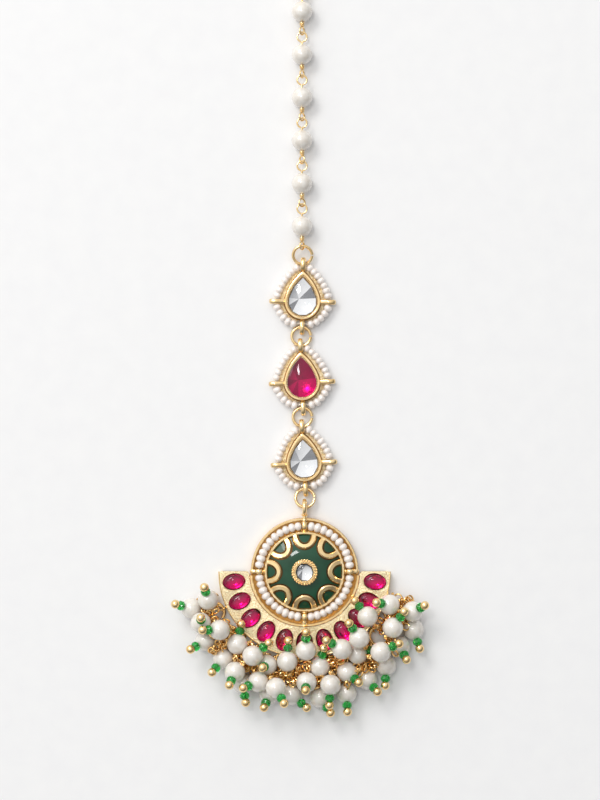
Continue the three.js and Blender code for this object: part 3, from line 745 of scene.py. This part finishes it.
def bail(piece):
    """Post and ring that the lowest jump ring hangs in, bound with wire."""
    start = THREAD_PATH + EYELET_HOLE
    length = BAIL_REACH - BAIL_RADIUS - start
    post = [(0, start + length * share, BAIL_HEIGHT) for share in (0, 0.3, 0.7, 1)]
    piece.add(wire(post, BAIL_WIRE, 16))
    piece.add(wire_ring(BAIL_RADIUS, BAIL_WIRE, 40, 16), at(0, BAIL_REACH, BAIL_HEIGHT) @ ENDWAYS)
    binding = wire_ring(BAIL_WIRE + 0.08, 0.16, 20, 8)
    for share in (0.2, 0.45, 0.95):
        piece.add(binding, at(0, start + share * length, BAIL_HEIGHT) @ ON_EDGE)


def half_ring(inner, outer, corner):
    """The lower half of a flat ring, with its four corners cut off."""
    outer_turn = corner / outer
    inner_turn = corner / inner
    return [
        (-inner - corner, 0), (-outer + corner, 0),
        *arc(outer, pi + outer_turn, TURN - outer_turn, 90),
        (outer - corner, 0), (inner + corner, 0),
        *arc(inner, TURN - inner_turn, pi + inner_turn, 70),
    ]


def oval(long, short, steps):
    return [(x * long / 2, y * short / 2) for x, y in arc(1, 0, TURN, steps)[:-1]]


def turned_about(points, bearing, reach):
    along, up = cos(bearing), sin(bearing)
    return [((x + reach) * along - y * up, (x + reach) * up + y * along) for x, y in points]


def crescent(piece):
    """Back plate, sanded face with its eleven seats, wired outer edge and the raised lip inside."""
    seats = [
        turned_about(oval(RUBY_LONG + 2 * RUBY_SEAT, RUBY_SHORT + 2 * RUBY_SEAT, 40), bearing, RUBY_PATH)
        for bearing in bearings(RUBY_COUNT)
    ]
    # The bed shows in the slit inside the lip; its darker gold is painted shade
    bed = plate([half_ring(DISC_RADIUS - 0.05, CRESCENT_OUTER, CRESCENT_CORNER)], 0.01, PLATE - 0.05)
    piece.add(bed, material=SHADED_RECESS)
    face = plate([half_ring(CRESCENT_INNER, CRESCENT_OUTER, FACE_CORNER), *seats], 0.02, CRESCENT_TOP)
    piece.add(rounded(face, 0.1), material=SAND)
    edge = 0.13
    outer_edge = arc(CRESCENT_OUTER - edge, pi, TURN, 120)
    piece.add(wire(raised(outer_edge, CRESCENT_TOP - 0.03), edge, 8))
    middle = CRESCENT_INNER + 0.05 - LIP_WIDTH / 2
    path = raised(arc(middle, pi + 0.07, TURN - 0.07, 110), CRESCENT_TOP)
    section = bar_section(LIP_WIDTH / 2, PLATE - 0.1 - CRESCENT_TOP, LIP_RISE, 0.12)
    piece.add(sweep(path, [UPRIGHT] * len(path), section), material=BRIGHT)
    seat_edge = raised(oval(RUBY_LONG + 0.3, RUBY_SHORT + 0.3, 48), CRESCENT_TOP)
    bowl = lathe([(0.99, CRESCENT_TOP - 0.12), (0.95, 1.2), (0.8, PLATE + 0.05), (0, PLATE + 0.03)], 40)
    scale = Matrix.Diagonal((RUBY_LONG / 2 + RUBY_SEAT, RUBY_SHORT / 2 + RUBY_SEAT, 1, 1))
    for bearing in bearings(RUBY_COUNT):
        place = about_z(bearing) @ at(RUBY_PATH, 0)
        # The bowls under the rubies are of the darker gold, painted shade
        piece.add(bowl, place @ scale, SHADED_RECESS)
        piece.add(wire(seat_edge, 0.09, 8, closed=True), place, SAND)


def lugs(piece):
    ring = wire_ring(LUG_HOLE + LUG_WALL / 2, LUG_WALL / 2 + 0.02, 28, 10)
    for bearing in bearings(BUNCH_COUNT):
        place = about_z(bearing) @ at(LUG_PATH, 0, LUG_HEIGHT)
        piece.add(ring, place @ ON_EDGE)


def make_frame():
    piece = Piece("pendant_metal", gold, sand_gold, shaded_gold, painted_shadow_line, bright_gold)
    disc_body(piece)
    collet(piece)
    rim(piece)
    disc_eyelets(piece)
    bail(piece)
    crescent(piece)
    lugs(piece)
    piece.finish("gold", "pendant_frame")


def make_enamel():
    piece = Piece("enamel_field", enamel)
    hole = COLLET_STEM + GAP
    reaches = np.linspace(ENAMEL_RADIUS, hole, 24)
    top = [(reach, enamel_height(reach)) for reach in reaches]
    piece.add(lathe([(hole, PLATE + GAP), (ENAMEL_RADIUS, PLATE + GAP), *top], 96, closed=True))
    piece.finish("enamel", "enamel_dome")


# Stones


def cut_stone(outlines, heights, culet):
    """Facets from the girdle up to the table, closed below by facets that meet at the culet.

    The facets round the culet come last, one for each corner of the outline.
    """
    points = [(x, y, height) for outline, height in zip(outlines, heights) for x, y in outline]
    sides = len(outlines[0])
    faces = []
    for ring in range(len(outlines) - 1):
        for i in range(sides):
            low, next_low = ring * sides + i, ring * sides + (i + 1) % sides
            faces.append([low, next_low, next_low + sides])
            faces.append([low, next_low + sides, low + sides])
    faces.append([len(points) - sides + i for i in range(sides)])
    faces.extend([i, (i + 1) % sides, len(points)] for i in range(sides))
    return np.array([*points, culet], float), faces


def add_stone(piece, outlines, heights, culet, place=None, foil_shades=(1,)):
    """A cut stone of a piece's first material, foiled round its edge and behind it.

    The last argument gives the materials of the foiled facets behind it, in turn; the grey and dark foils
    among them are painted shade, standing for facets that mirror dark surroundings.
    """
    form = cut_stone(outlines, heights, culet)
    piece.add(form, place)
    sides = len(outlines[0])
    first = len(piece.material_of) - len(form[1])
    piece.material_of[first:first + 2 * sides] = [1] * (2 * sides)
    piece.material_of[-sides:] = [foil_shades[i % len(foil_shades)] for i in range(sides)]


def teardrop(radius, tip, steps):
    """A round foot whose sides bow in to the tip. Each side is an arc that leaves the foot smoothly."""
    beyond = (tip ** 2 - radius ** 2) / (2 * (radius - tip * sin(LINK_SHOULDER)))
    across, along = -beyond * cos(LINK_SHOULDER), -beyond * sin(LINK_SHOULDER)
    bowed = arc(radius + beyond, LINK_SHOULDER, atan2(tip - along, -across), max(2, steps // 4))
    right = [(x + across, y + along) for x, y in bowed][1:]
    left = [(-x, y) for x, y in reversed(right[:-1])]
    foot = arc(radius, pi - LINK_SHOULDER, TURN + LINK_SHOULDER, steps)
    return [right[-1], *left, *foot, *right[:-1]]


def scaled_teardrop(inset, steps=48):
    share = (LINK_RADIUS - inset) / LINK_RADIUS
    return teardrop(LINK_RADIUS * share, LINK_TIP * share, steps)


def make_centre_stone():
    """A round rose-cut stone over its foil."""
    piece = Piece("centre_rose", clear, foil, foil_in_painted_half_shade, foil_in_painted_shade)
    radius = COLLET_RADIUS - COLLET_WALL - GAP
    rings = ((1, 0), (1, 0), (0.86, 0), (0.5, pi / 10))
    outlines = [arc(radius * share, turn, turn + TURN, 10)[:-1] for share, turn in rings]
    low = COLLET_TOP - 0.1
    heights = (low, low + GIRDLE, COLLET_TOP + 0.2, CENTRE_STONE_TOP)
    # The grey and dark foils behind some facets are painted shade
    add_stone(piece, outlines, heights, (-0.4, 0.4, low - 0.2), foil_shades=(1, 1, 2, 3, 2, 1, 3, 1, 1, 1))
    piece.finish("clear_stone", "centre_stone", facets=(0, 1, 2, 3))


def make_cabochons():
    """Smooth oval domes, each over a foiled back of twelve facets."""
    sides = 36
    low = CRESCENT_TOP - 0.45
    rise = RUBY_TOP - low
    shares = [1, *(cos(a) ** 0.85 for a in np.linspace(0, 1.45, 12))]
    heights = [low, *(low + GIRDLE + (rise - GIRDLE) * sin(a) for a in np.linspace(0, 1.45, 12))]
    outlines = [oval(RUBY_LONG * share, RUBY_SHORT * share, sides) for share in shares]
    for i, bearing in enumerate(bearings(RUBY_COUNT)):
        piece = Piece(f"ruby_cabochon_{i + 1}", ruby, ruby_foil)
        place = about_z(bearing) @ at(RUBY_PATH, 0)
        add_stone(piece, outlines, heights, (0.15, 0, low - 0.42), place)
        piece.finish("ruby", f"crescent_ruby_{i + 1}", facets=(1,))


def link_places():
    """Middle and lean of each link, worked out from the ring below it as in the part's source."""
    places = []
    y = BAIL_REACH
    for aside, lean, _ in LINK_ROW:
        turn = radians(lean)
        middle = Vector((aside, y + 2 * RING_RADIUS + LOW_REACH, 0))
        places.append((middle, turn))
        y = middle.y + TOP_REACH * cos(turn)
    return places


def flange_outline():
    """The seed pearls' route round a link, moved inwards so that it ends under them."""
    upper, lower = seed_route()
    right = [*upper, *lower[1:]]
    left = [(-x, y, z) for x, y, z in reversed(right[1:-1])]
    line = smooth([*right, *left], 72, closed=True)
    along = directions(line, closed=True)
    return [(x + FLANGE_INSET * way[1], y - FLANGE_INSET * way[0]) for (x, y, z), way in zip(line, along)]


def side_staple(side):
    """Flattened wire folded round the hole that the seed pearls' thread passes through."""
    start = LINK_RADIUS - 0.1
    round_up = EYELET_HOLE + STAPLE_THICK
    path = [
        (start, LINK_THREAD_HEIGHT + 0.2),
        *((LINK_EYELET + STAPLE_REACH * round_up * sin(a), LINK_THREAD_HEIGHT + round_up * cos(a))
          for a in np.linspace(-0.4, pi + 0.4, 12)),
        (start, LINK_FLOOR),
    ]
    return flat_wire(smooth([(side * x, 0, z) for x, z in path], 44), (0, 1, 0))


def link_setting(piece):
    """Bezel with a beaded inner ledge, on its back plate, with its eyes and side staples."""
    piece.add(rounded(plate([flange_outline()], 0, FLANGE_TOP), 0.1), material=SAND)
    low = FLANGE_TOP - 0.1
    piece.add(rounded(plate([scaled_teardrop(0), scaled_teardrop(LEDGE_STEP)], low, LINK_HEIGHT), 0.13))
    # The inner ledge is of the darker gold, painted shade round the stone
    ledge = [scaled_teardrop(LEDGE_STEP - 0.05), scaled_teardrop(LINK_WALL)]
    piece.add(plate(ledge, low, LINK_HEIGHT - 0.22), material=SHADED_RECESS)
    # A thin wire of the darker gold round the bezel's foot, painted shade where it meets its back plate
    foot = raised(scaled_teardrop(-0.1, 60), FLANGE_TOP + 0.04)
    piece.add(wire(foot, 0.13, 8, closed=True), material=SHADED_RECESS)
    beaded = raised(scaled_teardrop(LINK_WALL - 0.13, 60), LINK_HEIGHT - 0.2)
    for place in smooth(beaded, 66, closed=True):
        piece.add(ball(0.15, 10), at(*place), SAND)
    for side in (1, -1):
        piece.add(side_staple(side))
    for eye, reach in LINK_EYES:
        ring = flat_wire(hoop(eye["across"], eye["along"]), (0, 0, 1), closed=True)
        piece.add(ring, at(0, reach, eye["height"]) @ ENDWAYS)


def seed_route():
    """The right half of a link's thread: above the side eyelet and below it."""
    right = []
    for across, along in THREAD_ROUTE:
        reach = TOP_REACH if along > 0 else LOW_REACH
        right.append((across * LINK_EYELET, along * reach, LINK_THREAD_HEIGHT))
    in_eye = EYE_WIRE + THREAD_RADIUS + GAP
    top = (0, TOP_REACH - TOP_EYE["along"] + in_eye, LINK_THREAD_HEIGHT)
    low = (0, LOW_EYE["along"] - LOW_REACH - in_eye, LINK_THREAD_HEIGHT)
    return [top, *right[:4]], [*right[3:], low]


def bead_line(piece, route, bead, pitch, bare_first, bare_last):
    """Seed beads side by side along a route, between its bare ends, on their thread."""
    steps = 200
    fine = smooth(route, steps)
    step = np.linalg.norm(fine[1] - fine[0])
    room = step * steps - bare_first - bare_last
    count = round(room / pitch)
    for i in range(count):
        reach = (bare_first + room * (i + 0.5) / count) / step
        k = int(reach)
        way = fine[min(k + 2, steps)] - fine[max(k - 1, 0)]
        size = bead / 2 * (1 + 0.07 * chance.uniform(-1, 1))
        form = rondelle(size, 0.52 * room / count, THREAD_RADIUS, 20)
        place = at(*fine[k]) @ facing(way)
        place = place @ Matrix.Rotation(chance.uniform(-0.12, 0.12), 4, "X")
        piece.add(form, place)
    piece.add(wire(fine[::8], THREAD_RADIUS, 8), material=1)


def make_links():
    upper, lower = seed_route()
    for i, ((middle, turn), (_, _, kind)) in enumerate(zip(link_places(), LINK_ROW)):
        place = at(*middle) @ about_z(turn)
        name = f"teardrop_{i + 1}"
        setting = Piece(f"{name}_bezel", gold, sand_gold, shaded_gold)
        link_setting(setting)
        setting.move(place)
        setting.finish("gold", f"{name}_setting")
        string = Piece(f"{name}_seeds", seed_pearl, thread)
        for side in (1, -1):
            above = [(side * x, y, z) for x, y, z in upper]
            below = [(side * x, y, z) for x, y, z in lower]
            bead_line(string, above, LINK_BEAD, 1.2, BARE_THREAD, BARE_THREAD - 0.1)
            bead_line(string, below, LINK_BEAD + 0.1, 1.2, BARE_THREAD - 0.1, BARE_LOW)
        string.move(place)
        string.finish("seed_pearl", f"{name}_seed_string")
        make_link_stone(name, kind, place)


def make_link_stone(name, kind, place):
    """A pear cut: a table and crown facets, over foiled facets that meet low inside."""
    is_ruby = kind == "ruby"
    # The darker foils behind some facets are painted shade
    if is_ruby:
        piece = Piece(f"{name}_pear", ruby, ruby_foil, shade_painted_ruby_foil)
        edge, low, depth, foil_shades = RUBY_EDGE, LINK_HEIGHT - 0.27, 0.3, (2, 1, 2, 1, 2, 1, 1, 1, 1, 2, 2)
    else:
        piece = Piece(f"{name}_pear", clear, foil, foil_in_painted_half_shade, foil_in_painted_shade)
        edge, low, depth, foil_shades = LINK_WALL + GAP, LINK_HEIGHT - 0.1, 0.16, (1, 2, 1, 3, 1, 1, 1, 1, 1, 3, 1)
    outlines = [scaled_teardrop(edge + inset, 7) for inset in (0, 0, PEAR_CROWN)]
    heights = (low, low + GIRDLE, LINK_STONE_TOP + 0.05)
    add_stone(piece, outlines, heights, (-0.7, 0.5, low - depth), place, foil_shades)
    piece.finish("ruby" if is_ruby else "clear_stone", f"{name}_stone", facets=(0, 1, 2, 3))


def make_disc_string():
    piece = Piece("disc_seeds", seed_pearl, thread)
    for i in range(4):
        route = raised(arc(THREAD_PATH, i * QUARTER, (i + 1) * QUARTER, 12), THREAD_HEIGHT)
        bead_line(piece, route, DISC_BEAD, 1.3, BARE_THREAD - 0.15, BARE_THREAD - 0.15)
    piece.finish("seed_pearl", "disc_seed_string")


# Rings, chain and hook


def split_ring():
    """A jump ring in the XY plane, open at +X."""
    half = RING_SPLIT / 2
    return wire(raised(arc(RING_RADIUS, half, TURN - half, 64), 0), RING_THICK, 14)


def rest_in(height, hole):
    """Height of a ring's wire that lies low in a hole whose middle is at a height."""
    return height - (hole - RING_WIRE - GAP)


def make_rings():
    """Jump rings through the eyes, at the places that the part's source works out."""
    seat = Vector((0, BAIL_REACH, rest_in(BAIL_HEIGHT, BAIL_RADIUS - BAIL_WIRE)))
    ends = []
    for middle, turn in link_places():
        low, high = (
            middle + about_z(turn) @ Vector((0, reach, rest_in(eye["height"], eye["across"] - EYE_WIRE)))
            for eye, reach in LINK_EYES
        )
        ends.append((seat, low))
        seat = high
    pin_height = rest_in(CHAIN_PEARL, LOWER_LOOP - PIN_WIRE)
    ends.append((seat, Vector((CHAIN_ASIDE, seat.y + 2 * RING_RADIUS, pin_height))))
    for i, (low, high) in enumerate(ends):
        piece = Piece(f"ring_{i + 1}", gold)
        lean = atan2(high.z - low.z, 2 * RING_RADIUS)
        piece.add(split_ring(), at(*((low + high) / 2)) @ Matrix.Rotation(lean, 4, "X"))
        piece.finish("gold", f"jump_ring_{i + 1}")
    return seat.y + 2 * RING_RADIUS


def coil(core, length):
    """Three turns of thin wire about a wire along +Z."""
    steps = 42
    turns = arc(core + WRAP_WIRE, 0, 3 * TURN, steps)
    return wire([(x, y, length * i / steps) for i, (x, y) in enumerate(turns)], WRAP_WIRE, 8)


def eye_pin(piece, middle, twist):
    """Wire through a pearl, with a plain loop above it and a wrapped loop below it."""
    top = UPPER_LOOP_AT - UPPER_LOOP
    stem = [(0, -CHAIN_PEARL - PIN_COIL, 0), (0, 0, 0), (0, top, 0)]
    place = at(*middle)
    piece.add(wire(smooth(stem, 12), PIN_WIRE, 12), place)
    upper = [(UPPER_LOOP * sin(a), UPPER_LOOP_AT - UPPER_LOOP * cos(a), 0)
             for a in np.linspace(0, TURN - 0.18, 40)]
    piece.add(wire(upper, PIN_WIRE, 12), place)
    lower = wire_ring(LOWER_LOOP, PIN_WIRE, 40, 12)
    piece.add(lower, place @ at(0, -LOWER_LOOP_AT) @ Matrix.Rotation(twist, 4, "Y"))
    piece.add(coil(PIN_WIRE, PIN_COIL - 0.15), place @ at(0, -CHAIN_PEARL - 0.1) @ ON_EDGE)


def make_chain(first):
    """Six pearls on their pins, from the lowest loop's place. Returns the place of the last loop."""
    pitch = LOWER_LOOP_AT + UPPER_LOOP_AT + UPPER_LOOP + LOWER_LOOP - 2 * PIN_WIRE - GAP
    for i in range(CHAIN_PEARLS):
        middle = Vector((CHAIN_ASIDE, first + LOWER_LOOP_AT + i * pitch, CHAIN_PEARL))
        pin = Piece(f"pin_{i + 1}", gold)
        eye_pin(pin, middle, radians(PIN_TWISTS[i]))
        pin.finish("gold", f"eye_pin_{i + 1}")
        bead = Piece(f"bead_{i + 1}", pearl)
        bead.add(ball(CHAIN_PEARL, 48, DRILLED), at(*middle) @ ON_EDGE)
        bead.finish("pearl", f"chain_pearl_{i + 1}")
    return first + LOWER_LOOP_AT + (CHAIN_PEARLS - 1) * pitch + UPPER_LOOP_AT


def make_hook(last_loop):
    """A plain bent wire whose eye hangs in the last loop."""
    eye_height = CHAIN_PEARL - (HOOK_EYE - HOOK_WIRE - PIN_WIRE - GAP)
    end = HOOK_EYE + HOOK_SHANK
    half_way = HOOK_EYE + HOOK_SHANK / 2
    path = [(0, HOOK_EYE, eye_height), (0, half_way, 0.45 * eye_height), (0, end, HOOK_WIRE)]
    path += [(x + HOOK_BEND, y + end, HOOK_WIRE) for x, y in arc(HOOK_BEND, pi, 0, 6)[1:]]
    path.append((2 * HOOK_BEND, end - 0.6 * HOOK_POINT, HOOK_WIRE))
    path.append((2.3 * HOOK_BEND, end - HOOK_POINT, HOOK_WIRE))
    piece = Piece("hook", gold)
    place = at(CHAIN_ASIDE, last_loop + HOOK_EYE)
    piece.add(wire(smooth(path, 90), HOOK_WIRE, 14), place)
    eye = wire_ring(HOOK_EYE, HOOK_WIRE, 40, 14)
    piece.add(eye, place @ at(0, 0, eye_height) @ ENDWAYS)
    piece.finish("gold", "hair_hook")


# The heap of drops, laid by the same rule as in the part's source


def flat_place(bearing, reach, height=0.0):
    return Vector((reach * cos(bearing), reach * sin(bearing), height))


def floor_under(place, radius):
    """Height that a ball needs over the floor and the metal below it."""
    shelves = (
        (CRESCENT_OUTER, CRESCENT_TOP),
        (RUBY_PATH + RUBY_LONG / 2, RUBY_TOP),
        (DISC_RADIUS, THREAD_HEIGHT + EYELET_HOLE + EYELET_WALL),
    )
    reach = hypot(place.x, place.y)
    room = radius + GAP
    height = radius
    for edge, top in shelves:
        beyond = max(0.0, reach - edge)
        if beyond < room:
            height = max(height, top + sqrt(room ** 2 - beyond ** 2))
    return height


def lay_drop(row, laid, rings):
    """Lowest free place of a pearl with its tip, on the floor, the metal and what is laid already."""
    bearing, reach, aim, lean = row
    lean = radians(lean)
    way = flat_place(radians(aim), cos(lean), sin(lean))
    middle = flat_place(radians(bearing), reach * CRESCENT_OUTER)
    back = middle - way * DROP_PEARL
    bunch = min(range(BUNCH_COUNT), key=lambda k: hypot(rings[k].x - back.x, rings[k].y - back.y))
    outward = flat_place(bearings(BUNCH_COUNT)[bunch], 1)
    sideways = flat_place(bearings(BUNCH_COUNT)[bunch] + QUARTER, 1)
    to_back = Vector((back.x - rings[bunch].x, back.y - rings[bunch].y, 0))
    aside = to_back.dot(sideways)
    if to_back.dot(outward) <= 0:
        to_back = sideways * copysign(1, aside) + outward * 0.1
    hold = rings[bunch] + to_back.normalized() * RING_RADIUS
    balls = [(middle, DROP_PEARL)]
    balls.extend((middle + way * ahead, TIP_BEAD) for ahead in (GLASS_REACH, GOLD_REACH))
    too_low = []
    for place, radius in balls:
        too_low.append((-inf, floor_under(place, radius) - place.z))
        for other, other_radius in laid:
            room = radius + other_radius + GAP
            apart = hypot(place.x - other.x, place.y - other.y)
            if apart < room:
                half = sqrt(room ** 2 - apart ** 2)
                level = other.z - place.z
                too_low.append((level - half, level + half))
    height = 0.0
    for low, high in sorted(too_low, key=lambda span: span[0]):
        if low <= height < high:
            height = high
    lift = Vector((0, 0, height))
    laid.extend((place + lift, radius) for place, radius in balls)
    return {"bunch": bunch, "way": way, "middle": middle + lift, "hold": hold}


def heap():
    rings = [flat_place(bearing, LUG_PATH + RING_RADIUS, LUG_HEIGHT) for bearing in bearings(BUNCH_COUNT)]
    lug = LUG_HOLE + LUG_WALL
    laid = [(flat_place(bearing, LUG_PATH, LUG_HEIGHT), lug) for bearing in bearings(BUNCH_COUNT)]
    round_ring = [Vector((x, y, 0)) for x, y in arc(RING_RADIUS, 0, TURN, 12)[:-1]]
    for centre in rings:
        laid.extend((centre + step, RING_WIRE) for step in round_ring)
    return rings, [lay_drop(row, laid, rings) for row in DROPS]


def drop_metal(piece, drop):
    """Head pin with its gold ball, the wrapped loop behind the pearl, and small links from its ring."""
    way, middle, hold = drop["way"], drop["middle"], drop["hold"]
    place = at(*middle) @ facing(way)
    piece.add(ball(GOLD_RADIUS, 28), place @ at(0, 0, GOLD_AT), 1)
    piece.add(wire([(0, 0, z) for z in np.linspace(-DROP_PEARL - 0.25, GOLD_AT, 6)], DROP_WIRE, 10), place)
    cap = [(0.16, -DROP_PEARL - 0.1), (0.36, -DROP_PEARL - 0.02), (0.3, -DROP_PEARL + 0.2)]
    piece.add(lathe(cap, 16, closed=True), place)
    back = middle - way * (DROP_PEARL + 0.45)
    back.z = max(back.z, BACK_LOW)
    span = back - hold
    along = span.normalized()
    turn = facing(along)
    first = hold + along * 0.35
    first.z = max(first.z, FIRST_LOW)
    piece.add(wire_ring(FIRST_LOOP, 0.21, 26, 10), at(*first) @ turn @ ON_EDGE)
    links = max(0, round((span.length - 2.0) / LOOP_PITCH))
    for k in range(links):
        spin = about_z(QUARTER * (k % 2)) @ ON_EDGE
        link = wire(hoop(0.58, 0.76, 22), LOOP_WIRE, 8, closed=True)
        place = hold + along * LOOP_PITCH * (k + 1)
        place.z = max(place.z, LOOP_LOW)
        piece.add(link, at(*place) @ turn @ spin)
    start = LOOP_PITCH * (links + 1)
    rest = max(0.35, span.length - start)
    stem = at(*(hold + along * start)) @ turn
    piece.add(wire([(0, 0, 0), (0, 0, rest / 2), (0, 0, rest)], DROP_WIRE, 10), stem)
    piece.add(coil(DROP_WIRE, min(0.9, rest)), stem)


def spare_loops(piece, centre, drops):
    """Small open loops of pin wire in the free room between a bunch's pearls."""
    for _ in range(LOOP_TRIES):
        across = chance.uniform(-LOOP_REACH, LOOP_REACH)
        along = chance.uniform(-LOOP_REACH, LOOP_REACH)
        place = centre + Vector((across, along, chance.uniform(0, LOOP_RISE)))
        size = chance.uniform(0.6, 0.85)
        turn = Vector((chance.uniform(-1, 1), chance.uniform(-1, 1), chance.uniform(0.2, 1)))
        beyond = hypot(place.x, place.y) - CRESCENT_OUTER
        room = min((place - drop["middle"]).length for drop in drops) - DROP_PEARL
        if beyond < size or place.z < size + 0.2 or not 0.35 * size < room < LOOP_ROOM:
            continue
        path = raised(arc(size, 0, 1.85 * pi, 22), 0)
        piece.add(wire(path, LOOP_WIRE, 8), at(*place) @ facing(turn))


def make_bunches():
    rings, drops = heap()
    for i, centre in enumerate(rings):
        hung = [drop for drop in drops if drop["bunch"] == i]
        wires = Piece(f"bunch_{i + 1}_wire", wire_gold, bright_gold)
        pearls = Piece(f"bunch_{i + 1}_pearls", pearl)
        beads = Piece(f"bunch_{i + 1}_glass", green_glass)
        spin = about_z(bearings(BUNCH_COUNT)[i] + 2)
        wires.add(split_ring(), at(*centre) @ spin)
        spare_loops(wires, centre, drops)
        for drop in hung:
            place = at(*drop["middle"]) @ facing(drop["way"])
            drop_metal(wires, drop)
            pearls.add(ball(DROP_PEARL, 48, TIP_HOLE), place)
            spun = about_z(chance.uniform(0, 1))
            beads.add(faceted_bead(), place @ at(0, 0, GLASS_AT) @ spun)
        node = f"pearl_bunch_{i + 1}"
        wires.finish("gold", node)
        pearls.finish("pearl", node)
        beads.finish("green_glass", node, facets=(0,))


def faceted_bead():
    """A small cut bead: three bands of facets round a hole."""
    shares = [(0.62, -1), (1, -0.38), (1, 0.38), (0.62, 1)]
    outside = [(GLASS_RADIUS * reach, GLASS_HALF * height) for reach, height in shares]
    rim_at = GLASS_HALF * 0.85
    return lathe([(TIP_HOLE, -rim_at), *outside, (TIP_HOLE, rim_at)], 10, closed=True)


# Floor, lights and camera


def make_stage():
    """A plain pale floor."""
    bpy.ops.mesh.primitive_plane_add(size=3, location=(0, 0.034, 0))
    floor = bpy.context.object
    floor.name = "floor"
    made, tree, shader = new_material("floor")
    shade(tree, shader, "Base Color", grain(tree, 4, 3), (0.3, (0.85, 0.85, 0.855)), (0.7, grey(0.87)))
    fix(shader, {"Roughness": 0.7})
    floor.data.materials.append(made)


def area_light(name, way, target, size, power, colour=(1, 1, 1)):
    data = bpy.data.lights.new(name, "AREA")
    data.shape = "RECTANGLE"
    data.size, data.size_y = size
    data.energy = power
    data.color = colour
    light = bpy.data.objects.new(name, data)
    light.location = target + Vector(way) * LAMP_REACH
    light.rotation_euler = facing(way).to_euler()
    bpy.context.scene.collection.objects.link(light)


def make_lights():
    """A soft key light, a weaker one, a small one overhead, and surroundings that are darker on one side."""
    middle = Vector((0, 34, 0)) * MM
    area_light("key", KEY_WAY, middle, (0.32, 0.25), 2.1, (1, 0.985, 0.96))
    area_light("fill", FILL_WAY, middle, (0.3, 0.3), 0.75)
    area_light("glint", GLINT_WAY, middle, (0.12, 0.12), 1.0)
    world = bpy.data.worlds.new("studio")
    bpy.context.scene.world = world
    world.use_nodes = True
    tree = world.node_tree
    way = tree.nodes.new("ShaderNodeTexCoord")
    towards = tree.nodes.new("ShaderNodeVectorMath")
    towards.operation = "DOT_PRODUCT"
    towards.inputs[1].default_value = KEY_WAY
    tree.links.new(way.outputs["Generated"], towards.inputs[0])
    sky = tree.nodes["Background"]
    shade(tree, sky, "Color", towards.outputs["Value"], (0, grey(0.18)), (0.5, grey(0.6)), (0.95, grey(1)))
    fix(sky, {"Strength": 1.19})
    bpy.context.scene.view_settings.view_transform = "Standard"


def make_camera():
    """Straight above. The photograph's frame covers 120 by 160 mm of the surface."""
    frame_height = 160.0
    distance = 600.0
    data = bpy.data.cameras.new("camera")
    data.sensor_fit = "VERTICAL"
    data.sensor_height = 24
    data.lens = 24 * distance / frame_height
    data.clip_start = 0.05
    camera = bpy.data.objects.new("camera", data)
    camera.location = (-0.9 * MM, 34.2 * MM, distance * MM)
    bpy.context.scene.collection.objects.link(camera)
    bpy.context.scene.camera = camera


make_camera()
make_stage()
make_lights()
make_frame()
make_enamel()
make_centre_stone()
make_cabochons()
make_disc_string()
make_links()
make_hook(make_chain(make_rings()))
make_bunches()
